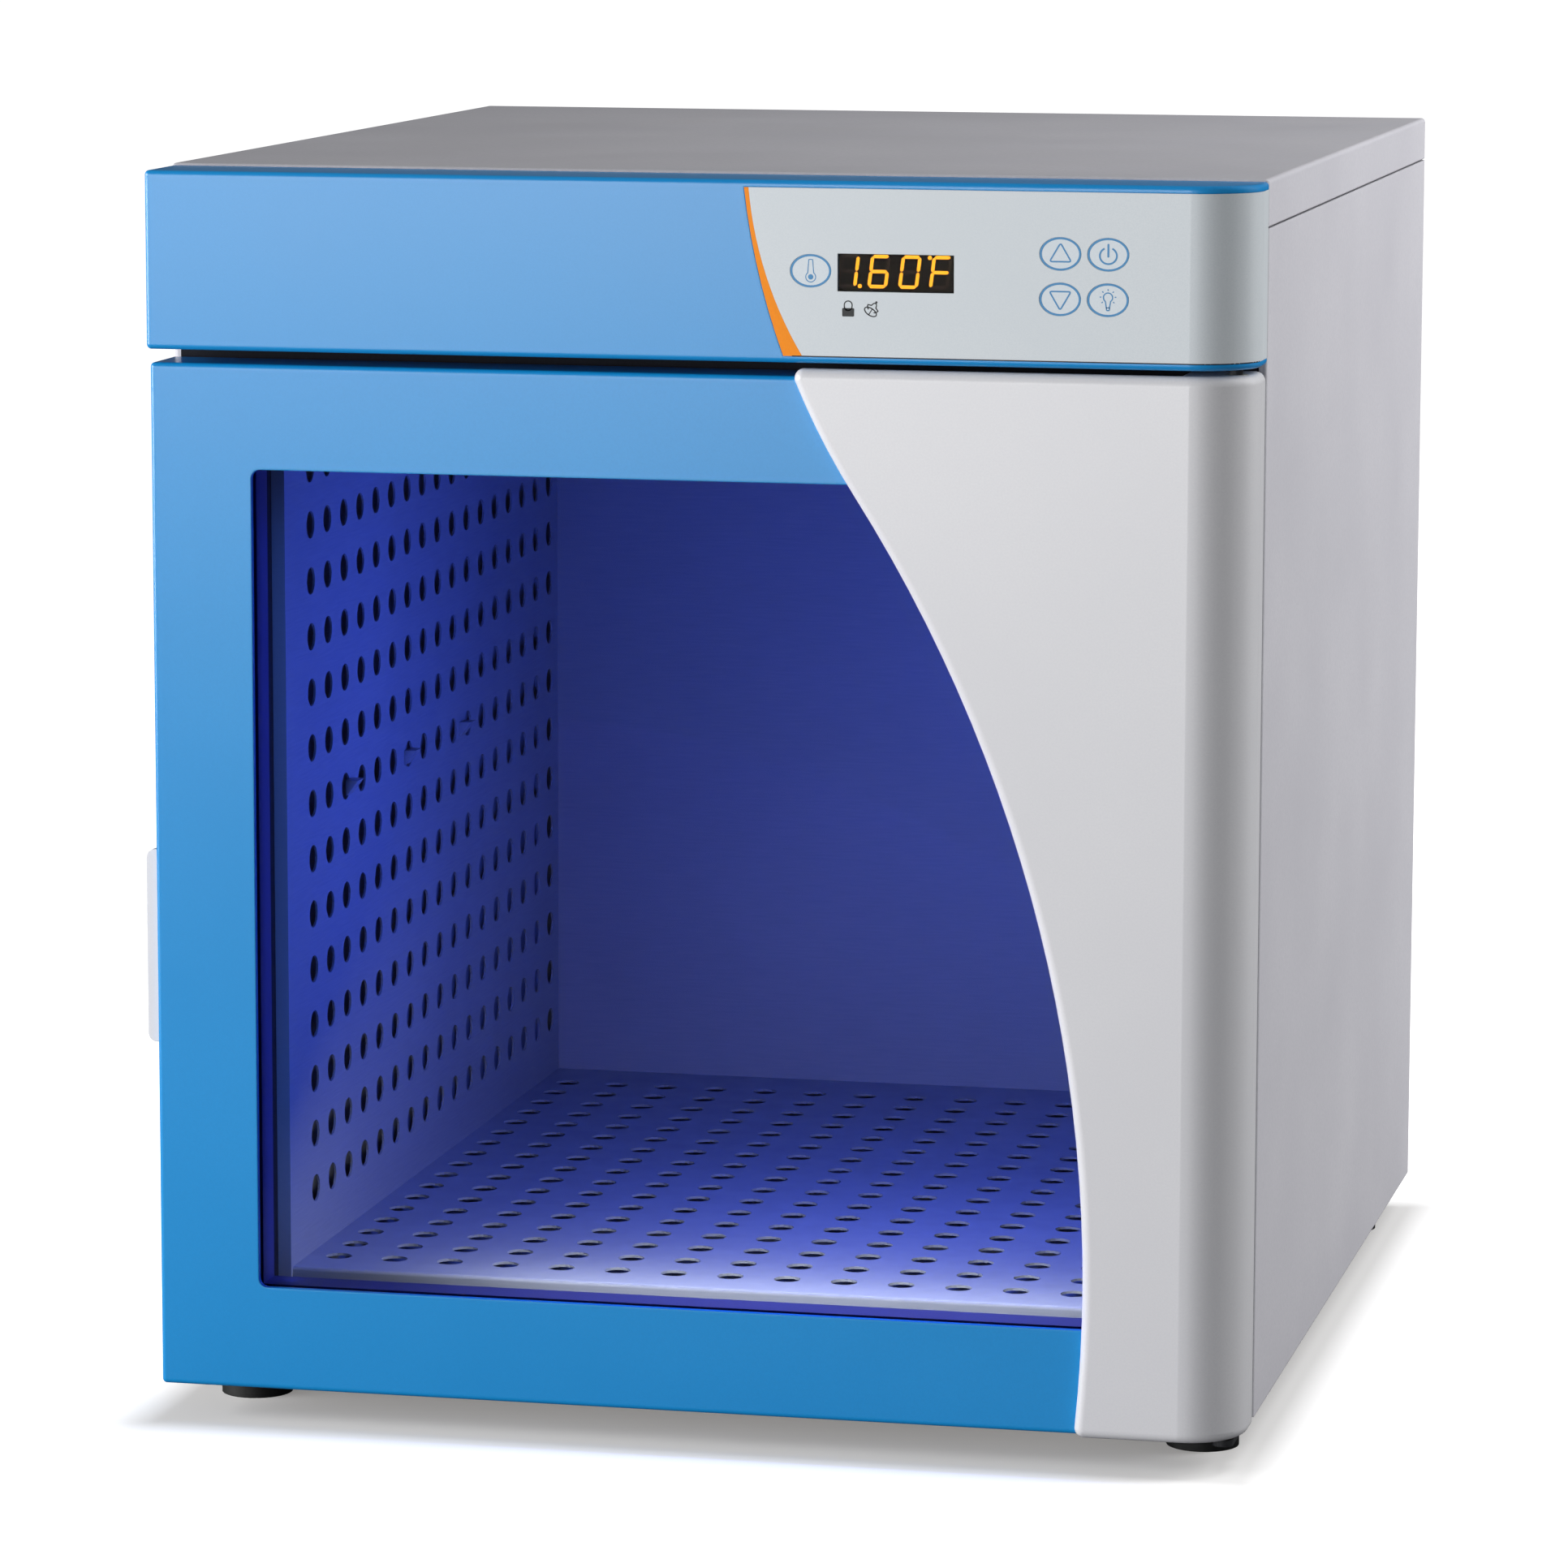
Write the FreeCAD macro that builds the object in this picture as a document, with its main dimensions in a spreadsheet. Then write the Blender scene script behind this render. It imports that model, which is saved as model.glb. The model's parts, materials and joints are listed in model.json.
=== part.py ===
"""Countertop blanket warming cabinet.

A sheet-metal case holds a perforated warming chamber. A moulded header on the front
carries the controls, and a glazed door swings on two pivots at its right-hand side.

Frame: +X to the right, +Z up, the front looks along -Y. The origin lies on the table
top, under the middle of the cabinet's width and depth. All sizes are millimetres.
"""
import FreeCAD, Part
import math
import os
import re
import Sketcher

os.makedirs("parts", exist_ok=True)
doc = FreeCAD.newDocument("BlanketWarmer")
V = FreeCAD.Vector

# ---------------------------------------------------------------- driving sizes
SIZES = [
    # the case
    ("caseWide", 485, "width over the side panels"),
    ("caseDeep", 532, "depth of the case behind its front face"),
    ("caseHigh", 537, "height of the case without its feet"),
    ("headDeep", 39, "how far header and door stand in front of the case"),
    ("sheet", 1.2, "thickness of the painted case sheet"),
    ("baseSheet", 1.5, "thickness of the base pan sheet"),
    ("liner", 1.0, "thickness of the stainless liner sheet"),
    ("bend", 2.0, "outside bend radius of the case sheet"),
    ("frontReturn", 20, "width of the side panel's front return"),
    ("frameInset", 3.5, "face sheet's edge inside the case's side"),
    ("rearReturn", 15, "width of the side panel's rear return"),
    ("coverHigh", 20, "height of the cover's flanges"),
    ("seam", 0.9, "seam between side panel and cover"),
    ("railLeg", 38, "height of the rail that joins side and cover"),
    ("railWide", 15, "width of that rail's top leg"),
    ("panFlange", 20, "height of the base pan's flanges"),
    # the feet
    ("footHigh", 19, "height of a rubber foot"),
    ("footWide", 32, "diameter of a foot"),
    ("footInset", 26, "foot centre behind the front face and inside the sides"),
    ("footBack", 52, "rear foot centre in front of the back"),
    ("footScrew", 4.0, "thread diameter of the foot screw"),
    ("footBore", 9.0, "counterbore of a foot"),
    ("screwHead", 2.4, "height of the screw's hexagon head"),
    ("screwPlay", 0.5, "head corners inside the counterbore"),
    ("screwOver", 4.5, "screw above the foot"),
    # the chamber
    ("sideGap", 46.5, "perforated wall inside the side of the case"),
    ("roofGap", 120, "chamber ceiling below the top of the case"),
    ("tubRise", 23, "tub bottom above the underside of the case"),
    ("deckRise", 18.6, "deck above the tub bottom"),
    ("deckLip", 5.0, "front lip of the deck"),
    ("deckSetback", 2.5, "deck lip behind the jamb"),
    ("jambDeep", 13, "depth of the jamb round the chamber mouth"),
    ("jambStep", 6, "jamb outside the perforated wall"),
    ("rearGap", 38, "space between the chamber back and the case back"),
    ("ductGap", 11, "air duct behind a perforated wall"),
    ("heaterThick", 2.0, "thickness of a heater mat"),
    ("heaterInset", 20, "heater mat inside its duct, front and rear"),
    ("heaterRise", 30, "heater mat above the tub bottom"),
    ("heaterDrop", 60, "heater mat below the ceiling"),
    ("roofPad", 30, "insulation over the chamber"),
    ("shelfTabs", 3, "shelf supports on each wall"),
    ("tabPitch", 98, "spacing of the shelf supports in depth"),
    ("tabHigh", 246, "height of the shelf supports above the case underside"),
    ("tabLong", 10, "length of a lanced shelf support"),
    ("tabRise", 7, "height of a lanced shelf support"),
    ("tabOut", 6, "how far a shelf support stands out of the wall"),
    ("deckNose", 1.5, "rounding of the deck's front edge"),
    # lamp and sensors
    ("lampWide", 48, "side of the square lamp housing"),
    ("lampFlange", 58, "side of its flange"),
    ("lampTall", 24, "lamp housing height over the ceiling"),
    ("lampRight", 70, "lamp centre right of the middle"),
    ("lampBack", 150, "lamp centre behind the case front"),
    ("lampWall", 1.5, "thickness of the lamp housing"),
    ("lampPlay", 1.0, "insulation cored round the lamp housing"),
    ("lensThick", 6.0, "thickness of the lens"),
    ("lensBevel", 3.0, "bevel round the lens"),
    ("lensDrop", 5.5, "lens below the ceiling"),
    ("sensorDrop", 36, "probe and thermostat below the ceiling"),
    ("probeWide", 6, "temperature probe diameter"),
    ("probeLong", 36, "temperature probe length"),
    ("discWide", 15, "limit thermostat diameter"),
    ("discThick", 6, "limit thermostat thickness"),
    ("discPlate", 30, "length of its fixing plate"),
    ("discTall", 12, "height of its fixing plate"),
    # header and controls
    ("headHigh", 77.5, "height of the header"),
    ("headDrop", 1.0, "header top below the cover top"),
    ("corner", 27, "plan radius of the front right corner"),
    ("softEdge", 2.0, "rounding of the moulded edges"),
    ("headWall", 3.0, "front wall of the header"),
    ("headShell", 2.5, "other walls of the header"),
    ("overlay", 1.0, "thickness of the control overlay"),
    ("overlayHigh", 71.4, "height of the control overlay"),
    ("overlayDrop", 3.2, "overlay top below the header top"),
    ("keyWide", 17.2, "width of a key"),
    ("keyTall", 13.4, "height of a key"),
    ("keyGap", 0.35, "gap round a key"),
    ("keyTravel", 0.4, "travel of a key"),
    ("keyLip", 1.0, "how far a key's retaining plate reaches beyond its cap"),
    ("keyStem", 3.1, "side of a key's square stem"),
    ("keyPitchX", 20.4, "spacing of the key columns"),
    ("keyPitchZ", 19.1, "spacing of the key rows"),
    ("keysInset", 82.2, "left key column inside the right side"),
    ("keysRise", 29.2, "lower key row above the header's underside"),
    ("modeInset", 189.6, "temperature key inside the right side"),
    ("modeRise", 39.3, "temperature key above the header's underside"),
    ("windowWide", 50.2, "display window width"),
    ("windowTall", 16.0, "display window height"),
    ("windowInset", 152.8, "display window centre inside the right side"),
    ("windowRise", 38.8, "display window centre above the header's underside"),
    ("displayCable", 32, "hole in the face sheet behind the display"),
    ("boardBack", 10.0, "control board behind the header's front plane"),
    ("boardThick", 1.6, "thickness of a circuit board"),
    ("boardSpare", 20, "control board beyond the outer key centres"),
    ("boardMargin", 2.0, "control board beyond a key's height, above and below"),
    ("boardCorner", 2.0, "corner rounding of the control board"),
    ("bossInset", 5.0, "boss centre inside the board's edges"),
    ("bossWide", 6.0, "diameter of a board boss"),
    ("switchWide", 6.2, "tact switch body"),
    ("switchDeep", 3.4, "tact switch depth"),
    ("switchPlay", 0.1, "free space between a stem and its switch beyond the travel"),
    # the sweeping curve that runs from the door up into the header
    ("sweepInset", 69.5, "curve's rightmost point inside the right side"),
    ("sweepDrop", 397.5, "that point below the header's underside"),
    ("sweepRadius", 622, "radius of the long lower arc"),
    ("sweepAngle", 33.24, "lean of the curve where it turns back"),
    ("sweepTurn", 302, "radius of the upper arc"),
    ("bandTop", 2.0, "accent band width at its top"),
    ("bandRadius", 164, "radius of the accent band's inner edge"),
    ("bandLean", 5.0, "lean of that edge at its top"),
    # the door
    ("doorDrop", 3.0, "blue door below the underside of the case"),
    ("doorHeadGap", 6.2, "blue door below the header"),
    ("doorStep", 5.0, "blue face behind the white panel's face"),
    ("doorGap", 3.3, "door back in front of the case"),
    ("doorWall", 3.0, "wall of the door mouldings"),
    ("panelDrop", 3.8, "white panel below the underside of the case"),
    ("panelHeadGap", 2.5, "white panel below the header"),
    ("stileGap", 3.0, "white panel's full-depth side beyond the glass and the shell's wall"),
    ("bandInset", 222.5, "left end of the overlay's recess inside the right side"),
    ("panelEdge", 4.2, "rounding of the white panel's edges"),
    ("viewSpread", 1.0, "window edge outside the perforated wall"),
    ("viewRise", 1.4, "window's lower edge above the deck"),
    ("viewDrop", 10.5, "window's upper edge below the ceiling"),
    ("viewCorner", 4.0, "corner radius of the window"),
    ("glassThick", 4.0, "thickness of the glass"),
    ("glassLap", 9.0, "glass behind the window's edge"),
    ("glazing", 1.0, "thickness of the glazing seal"),
    ("linerFlare", 11.5, "depth of the flare in the door liner"),
    ("linerSplay", 6.5, "width of the flare in the door liner"),
    ("gasketWide", 7.0, "width of the door gasket"),
    ("gasketThick", 2.9, "thickness of the door gasket"),
    ("gasketOut", 9.0, "gasket's outer edge outside the jamb"),
    # pivots
    ("pivotIn", 10, "pivot axis inside the right side"),
    ("pivotOut", 20, "pivot axis in front of the case"),
    ("pinWide", 6.0, "pivot pin diameter"),
    ("pinPlay", 0.05, "running clearance of a pin in its bush"),
    ("bushWide", 10, "bush diameter"),
    ("bushLong", 14, "bush length"),
    ("pinReach", 13, "pin inside its bush"),
    ("hingePlate", 3.0, "hinge bracket thickness"),
    ("hingeDrop", 4.5, "lower hinge plate under the case"),
    ("hingeArm", 9.0, "width of a hinge arm and diameter of its round end"),
    ("hingeLeaf", 25, "width of the upper bracket's leaf"),
    ("hingeRise", 20, "height of the upper bracket's leaf"),
    ("hingeFoot", 15, "width of the lower bracket's foot"),
    ("pinEntry", 1.0, "header hole round the pivot, beyond the pin"),
    # handle and catch
    ("handleRise", 153.8, "handle's lower end above the door's underside"),
    ("handleLong", 86.3, "handle length"),
    ("handleFront", 9.0, "handle lip behind the front plane"),
    ("handleDeep", 22, "handle depth"),
    ("handleOut", 5.6, "handle lip outside the door"),
    ("handlePlate", 1.0, "handle base plate thickness"),
    ("handleLip", 4.0, "handle lip thickness"),
    ("catchTall", 44, "catch height"),
    ("catchWide", 9, "catch width"),
    ("catchDeep", 12, "catch magnet depth"),
    ("catchGap", 0.5, "gap between magnet and strike"),
    ("catchSide", 2.5, "catch beyond the gasket"),
    # rear
    ("inletInset", 77.5, "power inlet inside the right side"),
    ("inletDrop", 50, "power inlet below the top of the case"),
    ("inletWide", 47, "power inlet width"),
    ("inletTall", 27, "power inlet height"),
    ("inletLip", 4, "inlet flange beyond its body"),
    ("inletDeep", 30, "inlet depth"),
    ("socketWide", 27, "width of the inlet's recess"),
    ("socketTall", 19, "height of the inlet's recess"),
    ("socketDeep", 17, "depth of the inlet's recess"),
    ("contactPitch", 7.0, "spacing of the inlet's contacts"),
    ("contactStep", 2.0, "contact centres above and below the inlet's middle"),
    ("contactWide", 2.0, "thickness of a contact"),
    ("contactTall", 4.0, "height of a contact"),
    ("contactLong", 10, "length of a contact"),
    ("slotWide", 4.0, "ventilation slot width"),
    ("slotTall", 34, "ventilation slot height"),
    ("slotPitch", 10, "ventilation slot spacing"),
    ("slotCount", 14, "ventilation slots"),
    ("slotInset", 30, "first ventilation slot inside the left side sheet"),
    # bay over the chamber
    ("supplyInset", 52.5, "power supply inside the left side"),
    ("supplyBack", 75.5, "power supply in front of the back"),
    ("supplyWide", 100, "width of the power supply"),
    ("supplyDeep", 140, "depth of the power supply"),
    ("supplyTall", 36, "height of the power supply"),
    ("supplyEar", 10, "length of its mounting ears"),
    ("supplyPlate", 2.0, "thickness of its ears and depth of its grooves"),
    ("grooveInset", 10, "cooling grooves inside the sides of the supply"),
    ("grooveStart", 15, "first cooling groove behind the supply's front"),
    ("grooveWide", 4.0, "width of a cooling groove"),
    ("groovePitch", 12, "spacing of the cooling grooves"),
    ("grooveCount", 10, "cooling grooves"),
    ("relayLeft", 41, "relay centre left of the middle"),
    ("relayBack", 145.5, "relay centre in front of the back"),
    ("relayWide", 38, "width of the relay's socket"),
    ("relayDeep", 40, "depth of the relay's socket"),
    ("relayBase", 12, "height of the relay's socket"),
    ("relayInset", 5.0, "relay inside the edges of its socket"),
    ("relayTall", 44, "height of relay and socket"),
    ("terminalRight", 10, "terminal block right of the middle"),
    ("terminalBack", 104.5, "terminal block's centre in front of the back"),
    ("terminalDeep", 22, "depth of the terminal block"),
    ("terminalBase", 10, "height of its base"),
    ("terminalPitch", 10, "spacing of its partitions"),
    ("terminalCount", 9, "partitions"),
    ("terminalRib", 2.0, "thickness of a partition"),
    ("terminalRise", 6.0, "height of a partition over the base"),
]

sizes = doc.addObject("Spreadsheet::Sheet", "Sizes")
for row, (alias, number, note) in enumerate(SIZES, start=1):
    sizes.set(f"A{row}", note)
    sizes.set(f"B{row}", str(number))
    sizes.setAlias(f"B{row}", alias)
doc.recompute()
CELLS = {alias for alias, number, note in SIZES}

# places that several pieces share, as formulas of the sheet's cells
FRONT = "-(caseDeep + headDeep) / 2"
FACE = "(headDeep - caseDeep) / 2"
REAR = "(caseDeep + headDeep) / 2"
TOP = "(footHigh + caseHigh)"
SIDE = "caseWide / 2"
INSIDE = "(caseWide / 2 - sheet)"
FRAME = f"({FACE} + sheet)"
BEHIND = f"({FACE} + 2 * sheet)"
BACKSHEET = f"({REAR} - 2 * sheet)"
WALL = "(caseWide / 2 - sideGap)"
DUCT = f"({WALL} + liner + ductGap)"
TRAY = f"({DUCT} + liner)"
PAD = f"({TRAY} + heaterThick)"
JAMB = f"({WALL} + jambStep)"
MOUTH = f"({FACE} + jambDeep)"
BACKWALL = f"({REAR} - rearGap)"
TUB = "(footHigh + tubRise)"
CEILING = f"({TOP} - roofGap)"
DECK = f"({TUB} + deckRise)"
BAY = f"({CEILING} + liner + roofPad)"
BAYFLOOR = f"({BAY} + sheet)"
LAMPY = f"({FACE} + lampBack)"
SENSORZ = f"({CEILING} - sensorDrop)"
HEADTOP = "(footHigh + caseHigh - headDrop)"
HEADLOW = "(footHigh + caseHigh - headDrop - headHigh)"
OVERTOP = f"({HEADTOP} - overlayDrop)"
OVERLOW = f"({HEADTOP} - overlayDrop - overlayHigh)"
BLUE = f"({FRONT} + doorStep)"
DOORBACK = f"({FACE} - doorGap)"
DOORLOW = "(footHigh - doorDrop)"
DOORTOP = f"({HEADLOW} - doorHeadGap)"
PANELLOW = "(footHigh - panelDrop)"
PANELTOP = f"({HEADLOW} - panelHeadGap)"
VIEW = f"({WALL} + viewSpread)"
VIEWLOW = f"({DECK} + viewRise)"
VIEWTOP = f"({CEILING} - viewDrop)"
STILE = f"({VIEW} + glassLap + stileGap + doorWall)"
BAND = f"({SIDE} - bandInset)"
PIVOTX = "(caseWide / 2 - pivotIn)"
PIVOTY = f"({FACE} - pivotOut)"
GLASS = f"({BLUE} + doorWall + glazing)"
GLASSBACK = f"({BLUE} + doorWall + glazing + glassThick)"
SWEEPX = f"({SIDE} - sweepInset - sweepRadius)"
SWEEPZ = f"({HEADLOW} - sweepDrop)"
TURNX = f"({SWEEPX} + (sweepRadius + sweepTurn) * cos(sweepAngle))"
TURNZ = f"({SWEEPZ} + (sweepRadius + sweepTurn) * sin(sweepAngle))"
# the accent band's inner edge starts a band's width right of the curve at the overlay's top
BANDX = (f"({TURNX} - sqrt(sweepTurn ^ 2 - ({TURNZ} - {OVERTOP}) ^ 2)"
         " + bandTop + bandRadius * cos(bandLean))")
BANDZ = f"({OVERTOP} + bandRadius * sin(bandLean))"
KEYSX = f"({SIDE} - keysInset)"
KEYSZ = f"({HEADLOW} + keysRise)"
MODEX = f"({SIDE} - modeInset)"
MODEZ = f"({HEADLOW} + modeRise)"
WINDOWX = f"({SIDE} - windowInset)"
WINDOWZ = f"({HEADLOW} + windowRise)"
HANDLELOW = f"({DOORLOW} + handleRise)"
CATCHX = f"-({JAMB} + gasketOut + catchSide + catchWide / 2)"
CATCHZ = f"({HANDLELOW} + handleLong / 2)"
INLETX = f"({SIDE} - inletInset)"
INLETZ = f"({TOP} - inletDrop)"


def bound(text):
    """The formula with every cell name pointed at the sheet."""
    return re.sub(r"[A-Za-z]\w*", lambda m: "Sizes." + m.group() if m.group() in CELLS else m.group(), text)


def value(text):
    """What a formula comes to now."""
    return float(sizes.evalExpression(bound(str(text))))


# ---------------------------------------------------------------- modelling helpers
NORMALS = {"XY": "z", "XZ": "y", "YZ": "x"}
ACROSS = {"XY": "xy", "XZ": "xz", "YZ": "yz"}


class Piece:
    """A PartDesign body whose sketches are given in the cabinet's frame."""

    def __init__(self, label, at):
        self.at = dict(zip("xyz", at))
        self.body = doc.addObject("PartDesign::Body", label)
        self.body.Label = label
        for axis, formula in self.at.items():
            self.body.setExpression(f"Placement.Base.{axis}", bound(formula))

    def local(self, axis, formula):
        return f"({formula}) - ({self.at[axis]})"

    def sketch(self, plane, level):
        """An empty sketch parallel to an origin plane, at a level along its normal."""
        new = self.body.newObject("Sketcher::SketchObject", "Sketch")
        role = f"{plane}_Plane"
        new.AttachmentSupport = [(o, "") for o in self.body.Origin.OriginFeatures if o.Role == role]
        new.MapMode = "FlatFace"
        sign = "-" if plane == "XZ" else ""
        new.setExpression("AttachmentOffset.Base.z", bound(f"{sign}({self.local(NORMALS[plane], level)})"))
        return new

    def fix(self, sketch, kind, geometry, point, formula):
        """Hold one coordinate of a sketch point by a formula."""
        index = sketch.addConstraint(Sketcher.Constraint(kind, -1, 1, geometry, point, value(formula)))
        sketch.setExpression(f"Constraints[{index}]", bound(formula))

    def loop(self, sketch, plane, corners):
        """A closed outline of straight edges through corners given in the cabinet's frame."""
        u, v = ACROSS[plane]
        spots = [(self.local(u, a), self.local(v, b)) for a, b in corners]
        points = [V(value(a), value(b), 0) for a, b in spots]
        count = len(points)
        lines = [
            sketch.addGeometry(Part.LineSegment(points[i], points[(i + 1) % count]))
            for i in range(count)
        ]
        for i in range(count):
            sketch.addConstraint(Sketcher.Constraint("Coincident", lines[i], 2, lines[(i + 1) % count], 1))
        for line, (a, b) in zip(lines, spots):
            self.fix(sketch, "DistanceX", line, 1, a)
            self.fix(sketch, "DistanceY", line, 1, b)
        return lines

    def rect(self, sketch, plane, u0, u1, v0, v1):
        return self.loop(sketch, plane, [(u0, v0), (u1, v0), (u1, v1), (u0, v1)])

    def circle(self, sketch, plane, u, v, diameter):
        au, av = ACROSS[plane]
        a, b = self.local(au, u), self.local(av, v)
        ring = sketch.addGeometry(Part.Circle(V(value(a), value(b), 0), V(0, 0, 1), value(diameter) / 2))
        self.fix(sketch, "DistanceX", ring, 3, a)
        self.fix(sketch, "DistanceY", ring, 3, b)
        index = sketch.addConstraint(Sketcher.Constraint("Diameter", ring, value(diameter)))
        sketch.setExpression(f"Constraints[{index}]", bound(diameter))

    def grow(self, kind, sketch, plane, length):
        """Pad or pocket a sketch towards the plane's positive axis."""
        feature = self.body.newObject(f"PartDesign::{kind}", kind)
        feature.Profile = sketch
        feature.setExpression("Length", bound(length))
        towards_normal = plane != "XZ"
        feature.Reversed = (not towards_normal) if kind == "Pad" else towards_normal
        sketch.Visibility = False
        doc.recompute()
        return feature

    def block(self, x0, x1, y0, y1, z0, z1, kind="Pad"):
        """A box between six levels, added or taken away."""
        drawn = self.sketch("XY", z0)
        self.rect(drawn, "XY", x0, x1, y0, y1)
        return self.grow(kind, drawn, "XY", f"({z1}) - ({z0})")

    def hole(self, plane, u, v, diameter, start, length, kind="Pocket"):
        """A round hole, or a round boss, from a start level along the plane's positive axis."""
        drawn = self.sketch(plane, start)
        self.circle(drawn, plane, u, v, diameter)
        return self.grow(kind, drawn, plane, length)

    def pick(self, test):
        """Names of the edges whose middle and direction pass a test, in the cabinet's frame."""
        shift = V(*[value(formula) for formula in self.at.values()])
        shape = self.body.Tip.Shape
        found = []
        for index, edge in enumerate(shape.Edges, start=1):
            middle = edge.valueAt((edge.FirstParameter + edge.LastParameter) / 2) + shift
            box = edge.BoundBox
            if test(middle, box):
                found.append(f"Edge{index}")
        return found

    def round(self, radius, test):
        """Round the edges that pass a test."""
        base, edges = self.body.Tip, self.pick(test)
        feature = self.body.newObject("PartDesign::Fillet", "Fillet")
        feature.Base = (base, edges)
        feature.setExpression("Radius", bound(radius))
        doc.recompute()
        return feature

    def array(self, feature, plane, axis_name, pitch, count, reverse=False):
        """Repeat a feature along one axis of its sketch."""
        repeat = self.body.newObject("PartDesign::LinearPattern", "LinearPattern")
        repeat.Originals = [feature]
        repeat.Direction = (feature.Profile[0], [axis_name])
        repeat.Reversed = reverse
        repeat.setExpression("Length", bound(f"({pitch}) * (({count}) - 1)"))
        repeat.setExpression("Occurrences", bound(count))
        self.body.Tip = repeat
        doc.recompute()
        return repeat


def near(a, b, slack=0.02):
    return abs(a - b) < slack


def box(label, x0, x1, y0, y1, z0, z1):
    """A piece that starts as a box; its own origin is the box's lowest corner."""
    piece = Piece(label, (x0, y0, z0))
    piece.block(x0, x1, y0, y1, z0, z1)
    return piece


def solid(kind, **formulas):
    """A Part primitive whose properties follow formulas."""
    new = doc.addObject(f"Part::{kind}", kind)
    for name, formula in formulas.items():
        new.setExpression(name.replace("_", "."), bound(str(formula)))
    return new


# ---------------------------------------------------------------- case
def side_panel(label, hand):
    """A C-shaped side sheet: web, front return and rear return. hand is -1 left, +1 right."""
    piece = Piece(label, (f"{hand} * {SIDE}", FRAME, "footHigh"))
    web, skin = f"{hand} * {SIDE}", f"{hand} * {INSIDE}"
    front, back = f"{hand} * ({SIDE} - frontReturn)", f"{hand} * ({SIDE} - rearReturn)"
    outline = [
        (front, FRAME), (web, FRAME), (web, REAR), (back, REAR),
        (back, f"{REAR} - sheet"), (skin, f"{REAR} - sheet"), (skin, BEHIND), (front, BEHIND),
    ]
    drawn = piece.sketch("XY", "footHigh")
    piece.loop(drawn, "XY", outline)
    piece.grow("Pad", drawn, "XY", "caseHigh - coverHigh - seam")
    corner_x, high = value(web), value("caseHigh - coverHigh - seam")

    def bends(middle, size):
        return near(middle.x, corner_x) and near(size.ZLength, high)

    piece.round("bend", bends)
    return piece.body


def top_cover():
    """A shallow lid with flanges on all four sides, open below."""
    piece = box("top_cover", f"-{SIDE}", SIDE, FACE, REAR, f"{TOP} - coverHigh", TOP)
    half, front, back, top = value(SIDE), value(FACE), value(REAR), value(TOP)

    def upper_and_upright(middle, size):
        upright = size.ZLength > 1 and near(abs(middle.x), half)
        return upright or near(middle.z, top)

    piece.round("bend", upper_and_upright)
    piece.block(f"-{INSIDE}", INSIDE, FRAME, f"{REAR} - sheet",
                f"{TOP} - coverHigh", f"{TOP} - sheet", kind="Pocket")
    return piece.body


def top_rail(label, hand):
    """The angle behind the seam that ties a side panel to the cover."""
    outer, inner = f"{hand} * {INSIDE}", f"{hand} * ({INSIDE} - baseSheet)"
    tip = f"{hand} * ({INSIDE} - railWide)"
    under = f"{TOP} - sheet"
    piece = Piece(label, (outer, BEHIND, under))
    drawn = piece.sketch("XZ", BEHIND)
    piece.loop(drawn, "XZ", [
        (outer, f"{under} - railLeg"), (outer, under), (tip, under),
        (tip, f"{under} - baseSheet"), (inner, f"{under} - baseSheet"), (inner, f"{under} - railLeg"),
    ])
    piece.grow("Pad", drawn, "XZ", f"{BACKSHEET} - {BEHIND}")
    return piece.body


def foot_places():
    """Foot centres as pairs of formulas."""
    return [
        (f"{hand} * ({SIDE} - footInset)", depth)
        for hand in (-1, 1)
        for depth in (f"{FACE} + footInset", f"{REAR} - footBack")
    ]


def base_pan():
    """The bottom pan with upturned flanges and a hole over each foot."""
    piece = box("base_pan", f"-{INSIDE}", INSIDE, BEHIND, BACKSHEET, "footHigh", "footHigh + panFlange")
    piece.block(f"-{INSIDE} + baseSheet", f"{INSIDE} - baseSheet", f"{BEHIND} + baseSheet",
                f"{BACKSHEET} - baseSheet", "footHigh + baseSheet", "footHigh + panFlange", kind="Pocket")
    drawn = piece.sketch("XY", "footHigh")
    for x, y in foot_places():
        piece.circle(drawn, "XY", x, y, "footScrew")
    piece.grow("Pocket", drawn, "XY", "baseSheet")
    return piece.body


def rear_panel():
    """The flat back sheet with its ventilation slots and the inlet's cut-out."""
    piece = box("rear_panel", f"-{INSIDE}", INSIDE, BACKSHEET, f"{REAR} - sheet",
                "footHigh", f"{TOP} - sheet")
    drawn = piece.sketch("XZ", BACKSHEET)
    piece.rect(drawn, "XZ", f"{INLETX} - inletWide / 2", f"{INLETX} + inletWide / 2",
               f"{INLETZ} - inletTall / 2", f"{INLETZ} + inletTall / 2")
    piece.grow("Pocket", drawn, "XZ", "sheet")
    slot = piece.sketch("XZ", BACKSHEET)
    piece.rect(slot, "XZ", f"-{INSIDE} + slotInset", f"-{INSIDE} + slotInset + slotWide",
               f"{INLETZ} - slotTall / 2", f"{INLETZ} + slotTall / 2")
    first = piece.grow("Pocket", slot, "XZ", "sheet")
    piece.array(first, "XZ", "H_Axis", "slotPitch", "slotCount")
    return piece.body


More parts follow.
